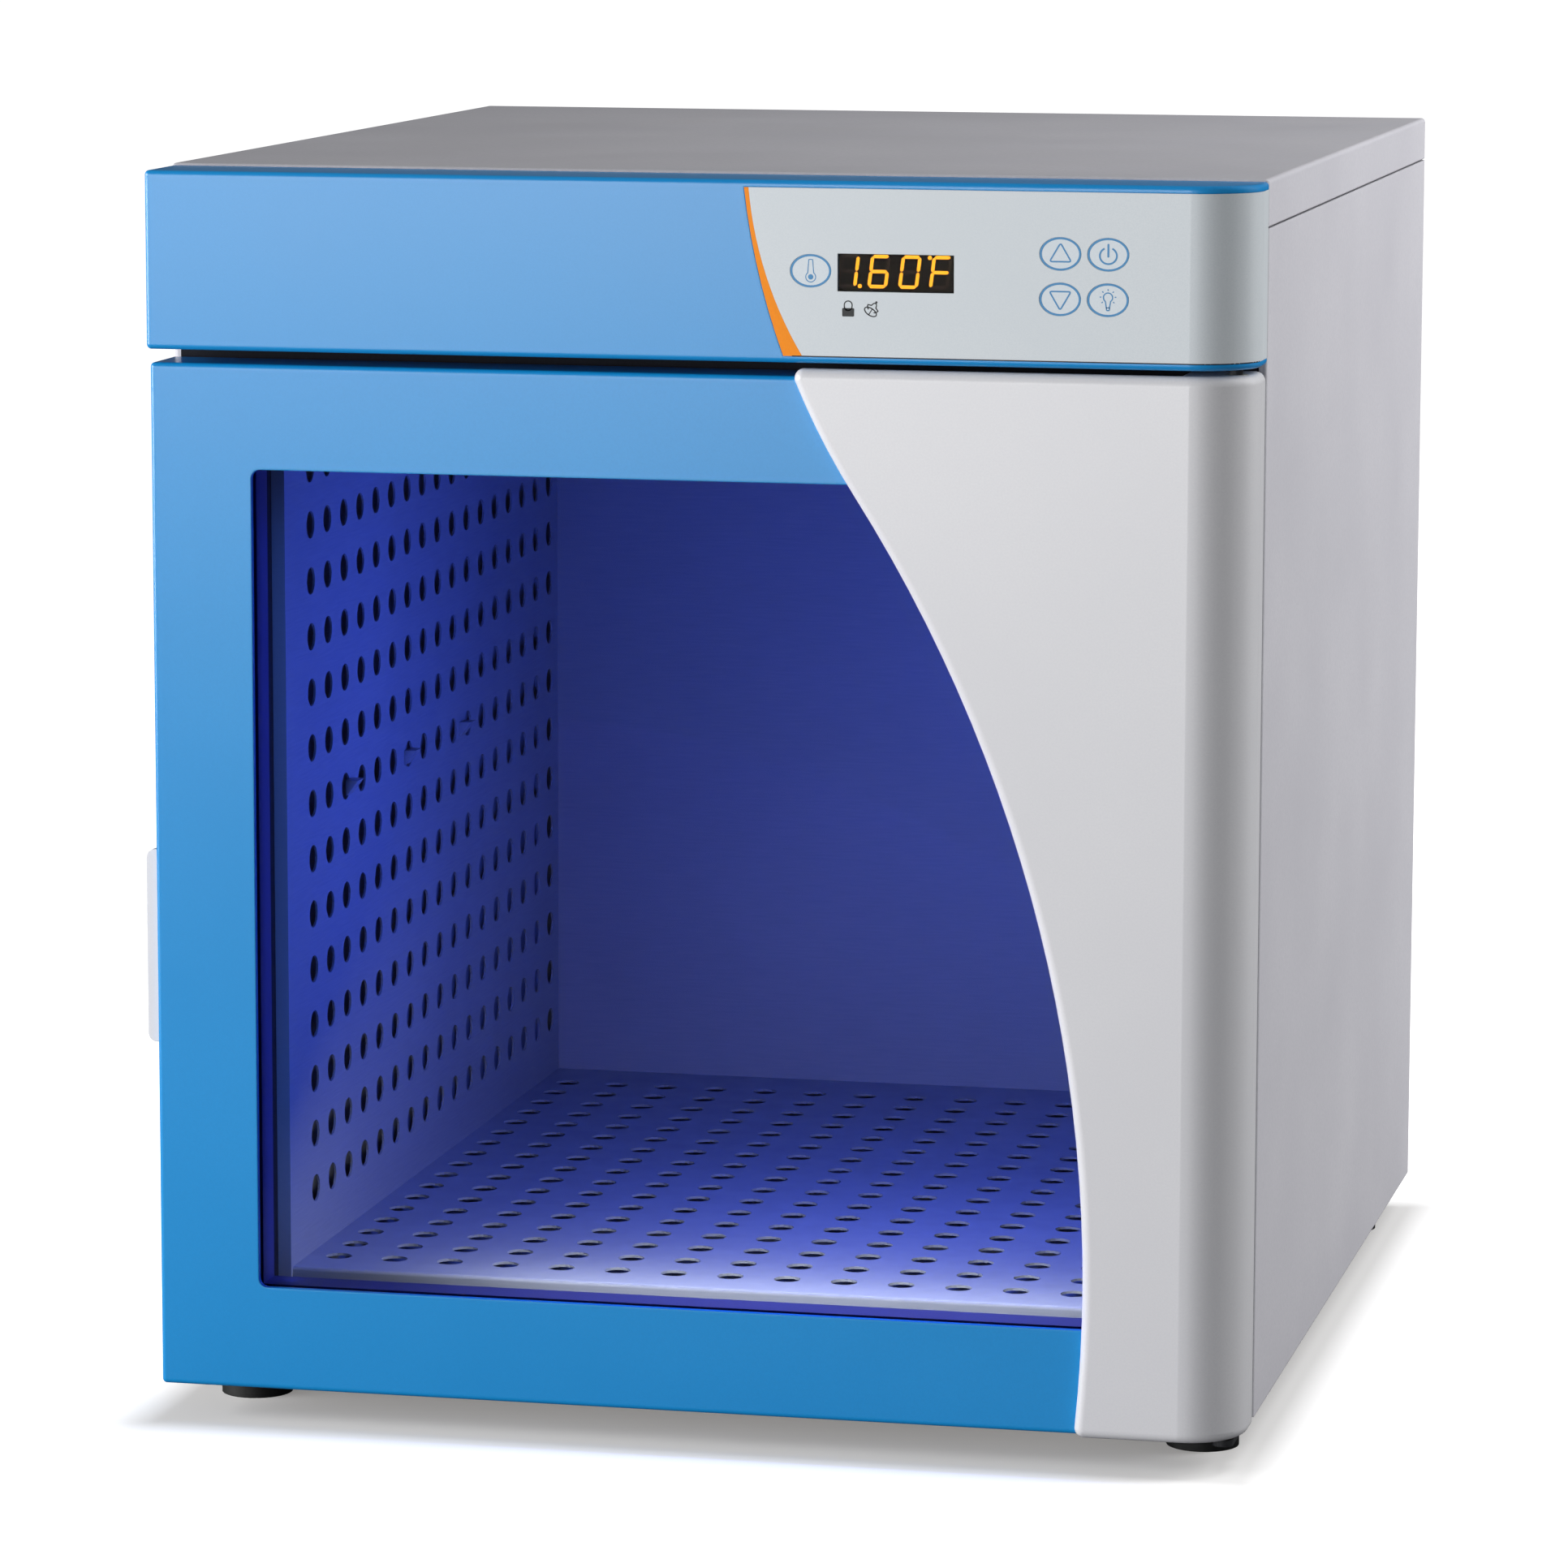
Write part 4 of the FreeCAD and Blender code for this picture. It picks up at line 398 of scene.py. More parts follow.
class Finish:
    """One finish in the making: its material, its shader and the groups that feed it."""

    def __init__(self, name, **sockets):
        self.material = bpy.data.materials.new(name)
        self.material.use_nodes = True
        self.tree = self.material.node_tree
        self.shader = self.tree.nodes["Principled BSDF"]
        self.place = self.tree.nodes.new("ShaderNodeTexCoord")
        for label, value in sockets.items():
            self.shader.inputs[label.replace("_", " ")].default_value = value

    def group(self, tree, **values):
        node = self.tree.nodes.new("ShaderNodeGroup")
        node.node_tree = tree
        self.tree.links.new(self.place.outputs["Object"], node.inputs["Place"])
        for label, value in values.items():
            label = label.replace("_", " ")
            if isinstance(value, bpy.types.NodeSocket):
                self.tree.links.new(value, node.inputs[label])
            else:
                node.inputs[label].default_value = value
        return node

    def feed(self, group, **targets):
        """Wires a group's outputs to the shader: output name = shader socket."""
        for output, socket in targets.items():
            self.tree.links.new(group.outputs[output], self.shader.inputs[socket])


def colour_of(red, green, blue):
    """A shader colour from the 0 to 255 values of a paint card."""
    def straight(value):
        value /= 255.0
        if value <= 0.04045:
            return value / 12.92
        return ((value + 0.055) / 1.055) ** 2.4
    return (straight(red), straight(green), straight(blue), 1.0)


def skin_finish(name, colour, shade, grain=700.0, depth=0.12, gloss=(0.35, 0.5),
                edge=0.0006, dust=0.0, **sockets):
    """A coat, plastic or rubber, with dust on what looks up where dust is given."""
    finish = Finish(name, **sockets)
    skin = finish.group(SKIN, Colour=colour, Shade=shade, Grain=grain, Depth=depth,
                        Gloss_low=gloss[0], Gloss_high=gloss[1], Edge=edge)
    finish.feed(skin, Roughness="Roughness", Normal="Normal")
    if dust:
        settled = finish.group(DUST, Under=skin.outputs["Colour"], Amount=dust,
                               Facing=finish.place.outputs["Normal"])
        finish.feed(settled, Colour="Base Color")
    else:
        finish.feed(skin, Colour="Base Color")
    return finish.material


def metal_finish(name, colour, dull, lines, gloss=(0.25, 0.45), depth=0.1, dust=0.0, metallic=1.0):
    """Sheet or turned metal; lines is how tightly its fine lines repeat along each axis."""
    finish = Finish(name, Metallic=metallic)
    metal = finish.group(METAL, Colour=colour, Dull=dull, Lines=lines, Depth=depth,
                         Gloss_low=gloss[0], Gloss_high=gloss[1])
    finish.feed(metal, Roughness="Roughness", Normal="Normal")
    if dust:
        settled = finish.group(DUST, Under=metal.outputs["Colour"], Amount=dust,
                               Facing=finish.place.outputs["Normal"])
        finish.feed(settled, Colour="Base Color")
    else:
        finish.feed(metal, Colour="Base Color")
    return finish.material


def fibre_finish(name, colour, hollow, tufts):
    """Matted wool."""
    finish = Finish(name, Roughness=0.95)
    finish.shader.inputs["Specular IOR Level"].default_value = 0.1
    mat = finish.group(FIBRE, Colour=colour, Hollow=hollow, Tufts=tufts)
    finish.feed(mat, Colour="Base Color", Normal="Normal")
    return finish.material


def glass_finish(name, colour, passing, roughness, streaks, ior):
    """Clear or smoked pane with faint wiping streaks; passing tints the light it lets through."""
    finish = Finish(name, Metallic=0.0)
    shader = finish.shader
    shader.inputs["Base Color"].default_value = colour
    shader.inputs["Transmission Weight"].default_value = 1.0
    shader.inputs["IOR"].default_value = ior
    tree = finish.tree
    wipe = add_node(tree, "ShaderNodeMapping")
    wipe.inputs["Scale"].default_value = (3.0, 1.0, 14.0)
    wipe.inputs["Rotation"].default_value = (0.0, 0.5, 0.0)
    tree.links.new(finish.place.outputs["Object"], wipe.inputs["Vector"])
    smear = noise(tree, wipe.outputs["Vector"], 5.0, 5.0, 0.6)
    smear = sharpened(tree, smear, 0.4, 0.8)
    tree.links.new(mapped(tree, smear, roughness, roughness + streaks), shader.inputs["Roughness"])
    output = tree.nodes["Material Output"]
    dimmed = add_node(tree, "ShaderNodeBsdfTransparent")
    dimmed.inputs["Color"].default_value = passing
    path = add_node(tree, "ShaderNodeLightPath")
    lighting = arithmetic(tree, "MAXIMUM", path.outputs["Is Shadow Ray"], path.outputs["Is Diffuse Ray"])
    pass_light = add_node(tree, "ShaderNodeMixShader")
    tree.links.new(lighting, pass_light.inputs[0])
    tree.links.new(shader.outputs["BSDF"], pass_light.inputs[1])
    tree.links.new(dimmed.outputs["BSDF"], pass_light.inputs[2])
    tree.links.new(pass_light.outputs["Shader"], output.inputs["Surface"])
    return finish.material


def glow_finish(name, colour, shade, light, strength):
    """A lit part: its own colour, and a glow that varies a little over it."""
    finish = Finish(name)
    skin = finish.group(SKIN, Colour=colour, Shade=shade, Grain=900.0, Depth=0.05,
                        Gloss_low=0.3, Gloss_high=0.4, Edge=0.0002)
    finish.feed(skin, Colour="Base Color", Roughness="Roughness", Normal="Normal")
    tree = finish.tree
    patch = noise(tree, finish.place.outputs["Object"], 160.0, 2.0, 0.5)
    dim = tuple(part * 0.8 for part in light[:3]) + (1.0,)
    tree.links.new(blended(tree, patch, dim, light), finish.shader.inputs["Emission Color"])
    finish.shader.inputs["Emission Strength"].default_value = strength
    return finish.material


def make_finishes():
    """Every finish of the cabinet, by the record's material slot."""
    made = {}
    made["case_white"] = skin_finish(
        "powder_coat_white", colour_of(205, 204, 210), colour_of(196, 195, 202),
        grain=650.0, depth=0.25, gloss=(0.42, 0.55), edge=0.0008, dust=0.10)
    # Painted shade: the front frame gets a near-black coat so that the deep gap over the door and the jamb
    # read dark as in shade; the frame itself is white.
    made["frame_black"] = skin_finish(
        "powder_coat_painted_shade", colour_of(26, 27, 36), colour_of(18, 19, 27),
        grain=650.0, depth=0.25, gloss=(0.5, 0.62), edge=0.0006, Specular_IOR_Level=0.15)
    made["door_blue"] = skin_finish(
        "moulded_plastic_blue", colour_of(16, 141, 210), colour_of(14, 137, 205),
        grain=1100.0, depth=0.06, gloss=(0.25, 0.28), edge=0.0010, Specular_IOR_Level=0.9)
    made["panel_white"] = skin_finish(
        "moulded_plastic_white", colour_of(224, 224, 227), colour_of(219, 219, 223),
        grain=1100.0, depth=0.06, gloss=(0.27, 0.30), edge=0.0008, Specular_IOR_Level=0.9)
    made["liner_dark"] = skin_finish(
        "moulded_plastic_navy", colour_of(34, 36, 78), colour_of(28, 30, 68),
        grain=900.0, depth=0.08, gloss=(0.35, 0.45))
    made["overlay_silver"] = skin_finish(
        "overlay_film_silver", colour_of(212, 218, 222), colour_of(205, 212, 217),
        grain=1500.0, depth=0.10, gloss=(0.30, 0.38), edge=0.0004)
    made["key_silver"] = skin_finish(
        "key_cap_silver", colour_of(214, 222, 228), colour_of(206, 215, 222),
        grain=1500.0, depth=0.08, gloss=(0.28, 0.36), edge=0.0004)
    made["accent_orange"] = skin_finish(
        "accent_orange_film", colour_of(250, 146, 4), colour_of(245, 139, 3),
        grain=1200.0, depth=0.06, gloss=(0.3, 0.4), edge=0.0002, Specular_IOR_Level=0.25)
    made["liner_steel"] = metal_finish(
        "chamber_liner_sheet", colour_of(146, 150, 158), colour_of(134, 138, 148),
        (1.0, 1.0, 24.0), gloss=(0.34, 0.46), depth=0.08, metallic=0.35)
    made["zinc_steel"] = metal_finish(
        "zinc_plated_sheet", colour_of(176, 178, 180), colour_of(140, 143, 148),
        (3.0, 3.0, 20.0), gloss=(0.32, 0.5), depth=0.15, dust=0.12)
    made["screw_steel"] = metal_finish(
        "screw_steel", colour_of(150, 152, 156), colour_of(110, 112, 118),
        (12.0, 12.0, 2.0), gloss=(0.28, 0.45), depth=0.15)
    made["probe_steel"] = metal_finish(
        "probe_steel", colour_of(186, 188, 192), colour_of(150, 153, 160),
        (20.0, 2.0, 20.0), gloss=(0.22, 0.36), depth=0.1)
    made["supply_metal"] = metal_finish(
        "supply_case_metal", colour_of(170, 172, 174), colour_of(128, 131, 136),
        (20.0, 2.0, 20.0), gloss=(0.34, 0.5), depth=0.2, dust=0.15)
    made["magnet_dark"] = metal_finish(
        "magnet_ferrite", colour_of(70, 70, 74), colour_of(46, 46, 50),
        (6.0, 6.0, 6.0), gloss=(0.5, 0.7), depth=0.3, metallic=0.4)
    made["hinge_black"] = skin_finish(
        "hinge_black_coat", colour_of(44, 45, 48), colour_of(30, 31, 34),
        grain=800.0, depth=0.3, gloss=(0.42, 0.6), dust=0.08)
    made["insulation_fibre"] = fibre_finish(
        "insulation_wool", colour_of(214, 205, 170), colour_of(150, 138, 96), 90.0)
    made["gasket_grey"] = skin_finish(
        "gasket_silicone_grey", colour_of(64, 66, 76), colour_of(52, 54, 64),
        grain=900.0, depth=0.3, gloss=(0.5, 0.65))
    made["seal_black"] = skin_finish(
        "glazing_rubber_black", colour_of(24, 24, 28), colour_of(16, 16, 20),
        grain=1000.0, depth=0.3, gloss=(0.5, 0.7))
    made["heater_mat"] = skin_finish(
        "heater_silicone_brick", colour_of(150, 70, 44), colour_of(122, 52, 34),
        grain=500.0, depth=0.8, gloss=(0.55, 0.7), dust=0.1)
    made["foot_rubber"] = skin_finish(
        "foot_rubber_black", colour_of(22, 24, 24), colour_of(12, 13, 13),
        grain=500.0, depth=0.5, gloss=(0.5, 0.7), edge=0.0008, dust=0.25)
    made["component_black"] = skin_finish(
        "moulded_black", colour_of(34, 34, 36), colour_of(22, 22, 24),
        grain=800.0, depth=0.3, gloss=(0.4, 0.55))
    made["display_black"] = skin_finish(
        "display_body_black", colour_of(20, 18, 16), colour_of(12, 11, 10),
        grain=1200.0, depth=0.1, gloss=(0.5, 0.6))
    made["relay_grey"] = skin_finish(
        "relay_case_grey", colour_of(120, 124, 130), colour_of(96, 100, 106),
        grain=900.0, depth=0.2, gloss=(0.4, 0.55), dust=0.1)
    made["terminal_cream"] = skin_finish(
        "terminal_cream", colour_of(214, 206, 178), colour_of(190, 180, 148),
        grain=900.0, depth=0.2, gloss=(0.45, 0.6), dust=0.1)
    made["bush_nylon"] = skin_finish(
        "bush_nylon_natural", colour_of(222, 218, 204), colour_of(200, 194, 176),
        grain=900.0, depth=0.15, gloss=(0.35, 0.5), edge=0.0003)
    made["board_green"] = skin_finish(
        "board_green_mask", colour_of(22, 92, 52), colour_of(14, 66, 38),
        grain=260.0, depth=0.5, gloss=(0.25, 0.4), edge=0.0001)
    made["window_glass"] = glass_finish(
        "window_glass_clear", (0.90, 0.93, 0.985, 1.0), (0.22, 0.28, 0.55, 1.0), 0.0, 0.02,
        ior=1.2)
    made["display_smoke"] = glass_finish(
        "display_window_smoked", (0.50, 0.40, 0.32, 1.0), (0.50, 0.40, 0.32, 1.0), 0.02, 0.03,
        ior=1.12)
    made["lens_frosted"] = glow_finish(
        "lamp_lens_frosted", colour_of(200, 205, 235), colour_of(180, 188, 225),
        (0.32, 0.36, 1.0, 1.0), 6.0)
    return made


FINISHES = make_finishes()

for part in frame["record"]["subparts"]:
    node = nodes[part["node"]]
    if not node.material_slots:
        node.data.materials.append(None)
    for holder in node.material_slots:
        holder.material = FINISHES[part["material_slot"]]


# ---------------------------------------------------------------------------
# Chamber walls and deck: perforated sheet
# ---------------------------------------------------------------------------

HOLE_SIDES = 16


def perforated_sheet(name, pitch_x, pitch_y, hole, columns, rows, margins, thickness):
    """A flat perforated sheet: one pierced cell, repeated, with plain margins (left, right, low, high)."""
    clear_bench()
    half_x = pitch_x / 2
    half_y = pitch_y / 2
    bpy.ops.mesh.primitive_circle_add(vertices=4, radius=math.sqrt(2), rotation=(0, 0, math.pi / 4))
    sheet = settle(named(name))
    bpy.ops.object.mode_set(mode="EDIT")
    bpy.ops.mesh.select_all(action="SELECT")
    bpy.ops.mesh.subdivide(number_cuts=HOLE_SIDES // 4 - 1)
    bpy.ops.transform.resize(value=(half_x, half_y, 1.0))
    bpy.ops.mesh.primitive_circle_add(vertices=HOLE_SIDES, radius=hole / 2, location=(0, 0, 0))
    bpy.ops.mesh.select_all(action="SELECT")
    bpy.ops.mesh.bridge_edge_loops()
    leave_edit()
    for axis, count, pitch in ((0, columns, pitch_x), (1, rows, pitch_y)):
        step = [0.0, 0.0, 0.0]
        step[axis] = pitch
        add_modifier(sheet, "ARRAY", count=count, use_relative_offset=False,
                     use_constant_offset=True, constant_offset_displace=step,
                     use_merge_vertices=True, merge_threshold=NEAR)
    right = (columns - 0.5) * pitch_x
    top = (rows - 0.5) * pitch_y
    sides = (
        (0, -half_x, (-margins[0], 0, 0)),
        (0, right, (margins[1], 0, 0)),
        (1, -half_y, (0, -margins[2], 0)),
        (1, top, (0, margins[3], 0)),
    )
    for axis, place, reach in sides:
        pick_points(sheet, lambda point: abs(point[axis] - place) < 2 * NEAR)
        bpy.ops.mesh.select_mode(type="EDGE")
        bpy.ops.mesh.extrude_edges_move(TRANSFORM_OT_translate={"value": reach})
        leave_edit()
    outward(sheet)
    add_modifier(sheet, "SOLIDIFY", thickness=thickness, offset=0.0)
    return sheet


TAB_PLACES = (-135.5 * MM, -37.5 * MM, 60.5 * MM)
TAB_HEIGHT = 265 * MM
TAB_SIZE = (6 * MM, 10 * MM, 7 * MM)
TAB_DRAWN = 5.2 * MM
TAB_ROUNDING = 0.5 * MM
TAB_REACH = 2.9 * MM


def shelf_tab(name, place, inward):
    """A small pressed tab under a shelf: a block whose lower inner edge is drawn back to a wedge."""
    clear_bench()
    bpy.ops.mesh.primitive_cube_add(size=1, location=(0, 0, 0))
    tab = named(name)
    tab.scale = TAB_SIZE
    settle(tab)
    pick_points(tab, lambda point: point.z < 0 and point.x * inward > 0)
    bpy.ops.transform.translate(value=(-TAB_DRAWN * inward, 0, 0))
    leave_edit()
    add_modifier(tab, "BEVEL", width=TAB_ROUNDING, segments=2)
    bpy.ops.object.shade_smooth_by_angle(angle=0.6)
    tab.location = place
    return settle(tab)


WALL_PITCH_Y = 26.5 * MM
WALL_PITCH_Z = 25.25 * MM
WALL_HOLE = 12.5 * MM
WALL_COLUMNS = 17
WALL_ROWS = 14
WALL_FIRST_Y = -193.5 * MM
WALL_FIRST_Z = 89.1 * MM
WALL_THICK = 1.0 * MM


def chamber_wall(side):
    """One perforated side wall with its three shelf tabs."""
    word = "left" if side < 0 else "right"
    low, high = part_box("chamber_wall_" + word)
    outer = max(abs(low.x), abs(high.x))
    margins = (
        WALL_FIRST_Y - WALL_PITCH_Y / 2 - low.y,
        high.y - (WALL_FIRST_Y + (WALL_COLUMNS - 0.5) * WALL_PITCH_Y),
        WALL_FIRST_Z - WALL_PITCH_Z / 2 - low.z,
        high.z - (WALL_FIRST_Z + (WALL_ROWS - 0.5) * WALL_PITCH_Z),
    )
    wall = perforated_sheet("wall_sheet_" + word, WALL_PITCH_Y, WALL_PITCH_Z, WALL_HOLE,
                            WALL_COLUMNS, WALL_ROWS, margins, WALL_THICK)
    upright = Matrix(((0, 0, 1, 0), (1, 0, 0, 0), (0, 1, 0, 0), (0, 0, 0, 1)))
    wall.data.transform(upright)
    wall.location = (side * (outer - WALL_THICK / 2), WALL_FIRST_Y, WALL_FIRST_Z)
    settle(wall)
    outward(wall)
    tabs = [
        shelf_tab("wall_tab", (side * (outer - WALL_THICK - TAB_REACH), y, TAB_HEIGHT), -side)
        for y in TAB_PLACES
    ]
    return join("perforated_wall_" + word, [wall] + tabs)


DECK_PITCH = 26.0 * MM
DECK_HOLE = 12.0 * MM
DECK_COLUMNS = 15
DECK_ROWS = 17
DECK_FIRST_Y = -205.0 * MM
DECK_THICK = 1.2 * MM
DECK_NOSE = 1.8 * MM
DECK_LIP = 8.5 * MM


def chamber_deck():
    """The perforated deck with its rounded nose and turned-down front lip."""
    low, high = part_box("chamber_deck")
    front = low.y + DECK_NOSE
    axis_z = high.z - DECK_NOSE
    first_x = -(DECK_COLUMNS - 1) / 2 * DECK_PITCH
    side_margin = high.x + first_x - DECK_PITCH / 2
    margins = (
        side_margin,
        side_margin,
        DECK_FIRST_Y - DECK_PITCH / 2 - front,
        high.y - (DECK_FIRST_Y + (DECK_ROWS - 0.5) * DECK_PITCH),
    )
    deck = perforated_sheet("perforated_deck", DECK_PITCH, DECK_PITCH, DECK_HOLE,
                            DECK_COLUMNS, DECK_ROWS, margins, DECK_THICK)
    deck.location = (first_x, DECK_FIRST_Y, high.z - DECK_THICK / 2)
    settle(deck)
    pick_faces(deck, lambda middle, normal: normal.y < -0.9 and abs(middle.y - front) < NEAR)
    bpy.ops.mesh.spin(steps=6, angle=-math.pi / 2, center=(0, front, axis_z), axis=(1, 0, 0))
    leave_edit()
    pick_faces(deck, lambda middle, normal: normal.z < -0.9 and abs(middle.z - axis_z) < NEAR
               and middle.y < front - DECK_NOSE / 4)
    bpy.ops.mesh.extrude_region_move(TRANSFORM_OT_translate={"value": (0, 0, -DECK_LIP)})
    leave_edit()
    outward(deck)
    return deck


for side, word in ((-1, "left"), (1, "right")):
    wall = chamber_wall(side)
    dress(wall, FINISHES["liner_steel"], "cabinet")
    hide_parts("chamber_wall_" + word)

deck = chamber_deck()
dress(deck, FINISHES["liner_steel"], "cabinet")
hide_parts("chamber_deck")


# ---------------------------------------------------------------------------
# Printing on the keys and the overlay; a painted shadow line under the overlay
# ---------------------------------------------------------------------------

PRINT_PROUD = 0.03 * MM
PRINT_THICK = 0.02 * MM
RING_LINE = 0.9 * MM
RING_HALF_WIDE = 8.85 * MM
RING_HALF_HIGH = 7.05 * MM
SIGN_LINE = 0.65 * MM
FINE_LINE = 0.5 * MM

INK_BLUE = skin_finish("key_ink_blue", colour_of(70, 140, 190), colour_of(62, 132, 184),
                       grain=1500.0, depth=0.05, gloss=(0.3, 0.4), edge=0.0001)
# Black print ink, also used for the painted shadow line under the overlay.
INK_AND_SHADOW_BLACK = skin_finish("overlay_ink_and_painted_shadow_black", colour_of(38, 40, 42), colour_of(30, 32, 34),
                        grain=1500.0, depth=0.05, gloss=(0.35, 0.45), edge=0.0001)
LED_LIT = glow_finish("led_amber_lit", colour_of(250, 170, 20), colour_of(240, 150, 10),
                      (1.0, 0.46, 0.02, 1.0), 2.1)
LED_UNLIT = skin_finish("led_amber_unlit", colour_of(52, 38, 26), colour_of(44, 32, 22),
                        grain=1200.0, depth=0.05, gloss=(0.4, 0.5), edge=0.0001)


def outline_of(piece, line):
    """Turns a filled flat shape into its outline, one line wide."""
    pick_faces(piece, lambda middle, normal: True)
    bpy.ops.mesh.inset(thickness=line, depth=0)
    bpy.ops.mesh.delete(type="FACE")
    leave_edit()
    return piece


def flat_shape(name, corners, radius, size=(1.0, 1.0), turn=0.0, middle=(0.0, 0.0)):
    """A filled flat shape with so many corners, scaled to size, lying in the ground plane."""
    clear_bench()
    bpy.ops.mesh.primitive_circle_add(vertices=corners, radius=radius, fill_type="NGON",
                                      rotation=(0, 0, turn))
    shape = settle(named(name))
    shape.scale = (size[0], size[1], 1.0)
    settle(shape)
    shape.location = (middle[0], middle[1], 0)
    return settle(shape)


def rounded_corners(piece, radius, segments=4):
    """Rounds the corners of a flat shape, or cuts them with one segment."""
    bpy.ops.object.mode_set(mode="EDIT")
    bpy.ops.mesh.select_all(action="SELECT")
    bpy.ops.mesh.bevel(offset=radius, segments=segments, affect="VERTICES")
    leave_edit()
    return piece


def bar(name, start, end, width):
    """A short printed stroke with rounded ends."""
    run = Vector(end) - Vector(start)
    stroke = flat_shape(name, 4, math.sqrt(0.5), turn=math.pi / 4)
    stroke.scale = (width, run.length, 1)
    stroke.rotation_euler = (0, 0, math.atan2(-run.x, run.y))
    middle = (Vector(start) + Vector(end)) / 2
    stroke.location = (middle.x, middle.y, 0)
    settle(stroke)
    return rounded_corners(stroke, width * 0.45, 2)


def lay_print(name, parts, x, y, z, finish, body):
    """Joins flat strokes, thickens them and stands them on a face that looks to the front."""
    print_piece = join(name, parts)
    add_modifier(print_piece, "SOLIDIFY", thickness=PRINT_THICK, offset=1.0)
    print_piece.data.transform(Matrix.Rotation(math.pi / 2, 4, "X"))
    print_piece.location = (x, y, z)
    settle(print_piece)
    outward(print_piece)
    return dress(print_piece, finish, body)


def key_ring():
    """The printed oval round a key."""
    ring = flat_shape("ring", 40, 1.0, size=(RING_HALF_WIDE, RING_HALF_HIGH))
    return outline_of(ring, RING_LINE)


TRIANGLE_RADIUS = 6.0 * MM
TRIANGLE_ROUNDING = 1.6 * MM
TRIANGLE_DROP = 0.65 * MM


def triangle_sign(up):
    """An arrow in outline with soft corners, pointing up or down."""
    sign = flat_shape("triangle", 3, TRIANGLE_RADIUS, size=(1.0, 0.98))
    rounded_corners(sign, TRIANGLE_ROUNDING)
    outline_of(sign, SIGN_LINE)
    sign.location = (0, -TRIANGLE_DROP, 0)
    settle(sign)
    if not up:
        sign.rotation_euler = (0, 0, math.pi)
        settle(sign)
    return [sign]


POWER_RADIUS = 4.0 * MM
POWER_LINE = 0.75 * MM
POWER_OPENING = 3.2 * MM
POWER_BAR = 0.85 * MM


def power_sign():
    """A circle open at the top with a bar in the opening."""
    circle = flat_shape("circle", 40, POWER_RADIUS, size=(1.0, 0.95))
    outline_of(circle, POWER_LINE)
    pick_faces(circle, lambda middle, normal: middle.y > 0 and abs(middle.x) < POWER_OPENING / 2)
    bpy.ops.mesh.delete(type="FACE")
    leave_edit()
    circle.location = (0, -0.5 * MM, 0)
    settle(circle)
    return [circle, bar("stroke", (0, -1.2 * MM), (0, 4.6 * MM), POWER_BAR)]


BULB_RADIUS = 2.2 * MM
RAYS = 7
FIRST_RAY = -40.0
RAY_STEP = 43.3
RAY_FROM = 2.8 * MM
RAY_TO = 3.6 * MM
RAY_LINE = 0.45 * MM


def lamp_sign():
    """A bulb with its neck and cap and seven short rays."""
    bulb = flat_shape("bulb", 28, BULB_RADIUS)
    pick_points(bulb, lambda point: point.y < -1.8 * MM)
    bpy.ops.transform.translate(value=(0, -3.6 * MM, 0))
    bpy.ops.transform.resize(value=(0.75, 0.5, 1.0), center_override=(0, -5.6 * MM, 0))
    leave_edit()
    outline_of(bulb, FINE_LINE)
    rays = []
    for step in range(RAYS):
        angle = math.radians(FIRST_RAY + RAY_STEP * step)
        way = Vector((math.cos(angle), math.sin(angle), 0))
        rays.append(bar("ray", way * RAY_FROM, way * RAY_TO, RAY_LINE))
    cap = bar("cap", (-0.8 * MM, -4.3 * MM), (0.8 * MM, -4.3 * MM), FINE_LINE)
    parts = [bulb, cap] + rays
    for part in parts:
        part.location = (0, 1.1 * MM, 0)
        settle(part)
    return parts


THERMOMETER_BULB = 2.35 * MM
THERMOMETER_TUBE = 5.3 * MM
THERMOMETER_LINE = 0.38 * MM
THERMOMETER_FILLING = 1.15 * MM


def thermometer_sign():
    """A thermometer: a tube on a round bulb, with the filling drawn in."""
    glass = flat_shape("thermometer", 28, THERMOMETER_BULB)
    pick_points(glass, lambda point: point.y > 2.0 * MM)
    bpy.ops.transform.translate(value=(0, THERMOMETER_TUBE, 0))
    leave_edit()
    outline_of(glass, THERMOMETER_LINE)
    filling = flat_shape("filling", 16, THERMOMETER_FILLING)
    parts = [glass, filling]
    for part in parts:
        part.location = (0, -2.6 * MM, 0)
        settle(part)
    return parts


KEY_SIGNS = {
    "key_temperature": thermometer_sign,
    "key_up": lambda: triangle_sign(True),
    "key_power": power_sign,
    "key_down": lambda: triangle_sign(False),
    "key_light": lamp_sign,
}

for key, draw in KEY_SIGNS.items():
    low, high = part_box(key)
    middle_x = (low.x + high.x) / 2
    middle_z = (low.z + high.z) / 2
    front = low.y - PRINT_PROUD + PRINT_THICK
    lay_print("ring_" + key, [key_ring()], middle_x, front, middle_z,
              INK_BLUE, "cabinet")
    lay_print("sign_" + key, draw(), middle_x, front, middle_z, INK_BLUE, key)


def lock_sign():
    """A padlock: a filled body and an open shackle."""
    body = flat_shape("body", 4, math.sqrt(0.5), turn=math.pi / 4)
    body.scale = (5.2 * MM, 3.6 * MM, 1)
    body.location = (0, -1.9 * MM, 0)
    settle(body)
    rounded_corners(body, 0.4 * MM, 2)
    shackle = flat_shape("shackle", 24, 1.95 * MM)
    pick_points(shackle, lambda point: point.y < -0.2 * MM)
    bpy.ops.transform.translate(value=(0, -0.6 * MM, 0))
    leave_edit()
    outline_of(shackle, FINE_LINE)
    shackle.location = (0, 1.2 * MM, 0)
    settle(shackle)
    return [body, shackle]


BELL_TILT = -0.56


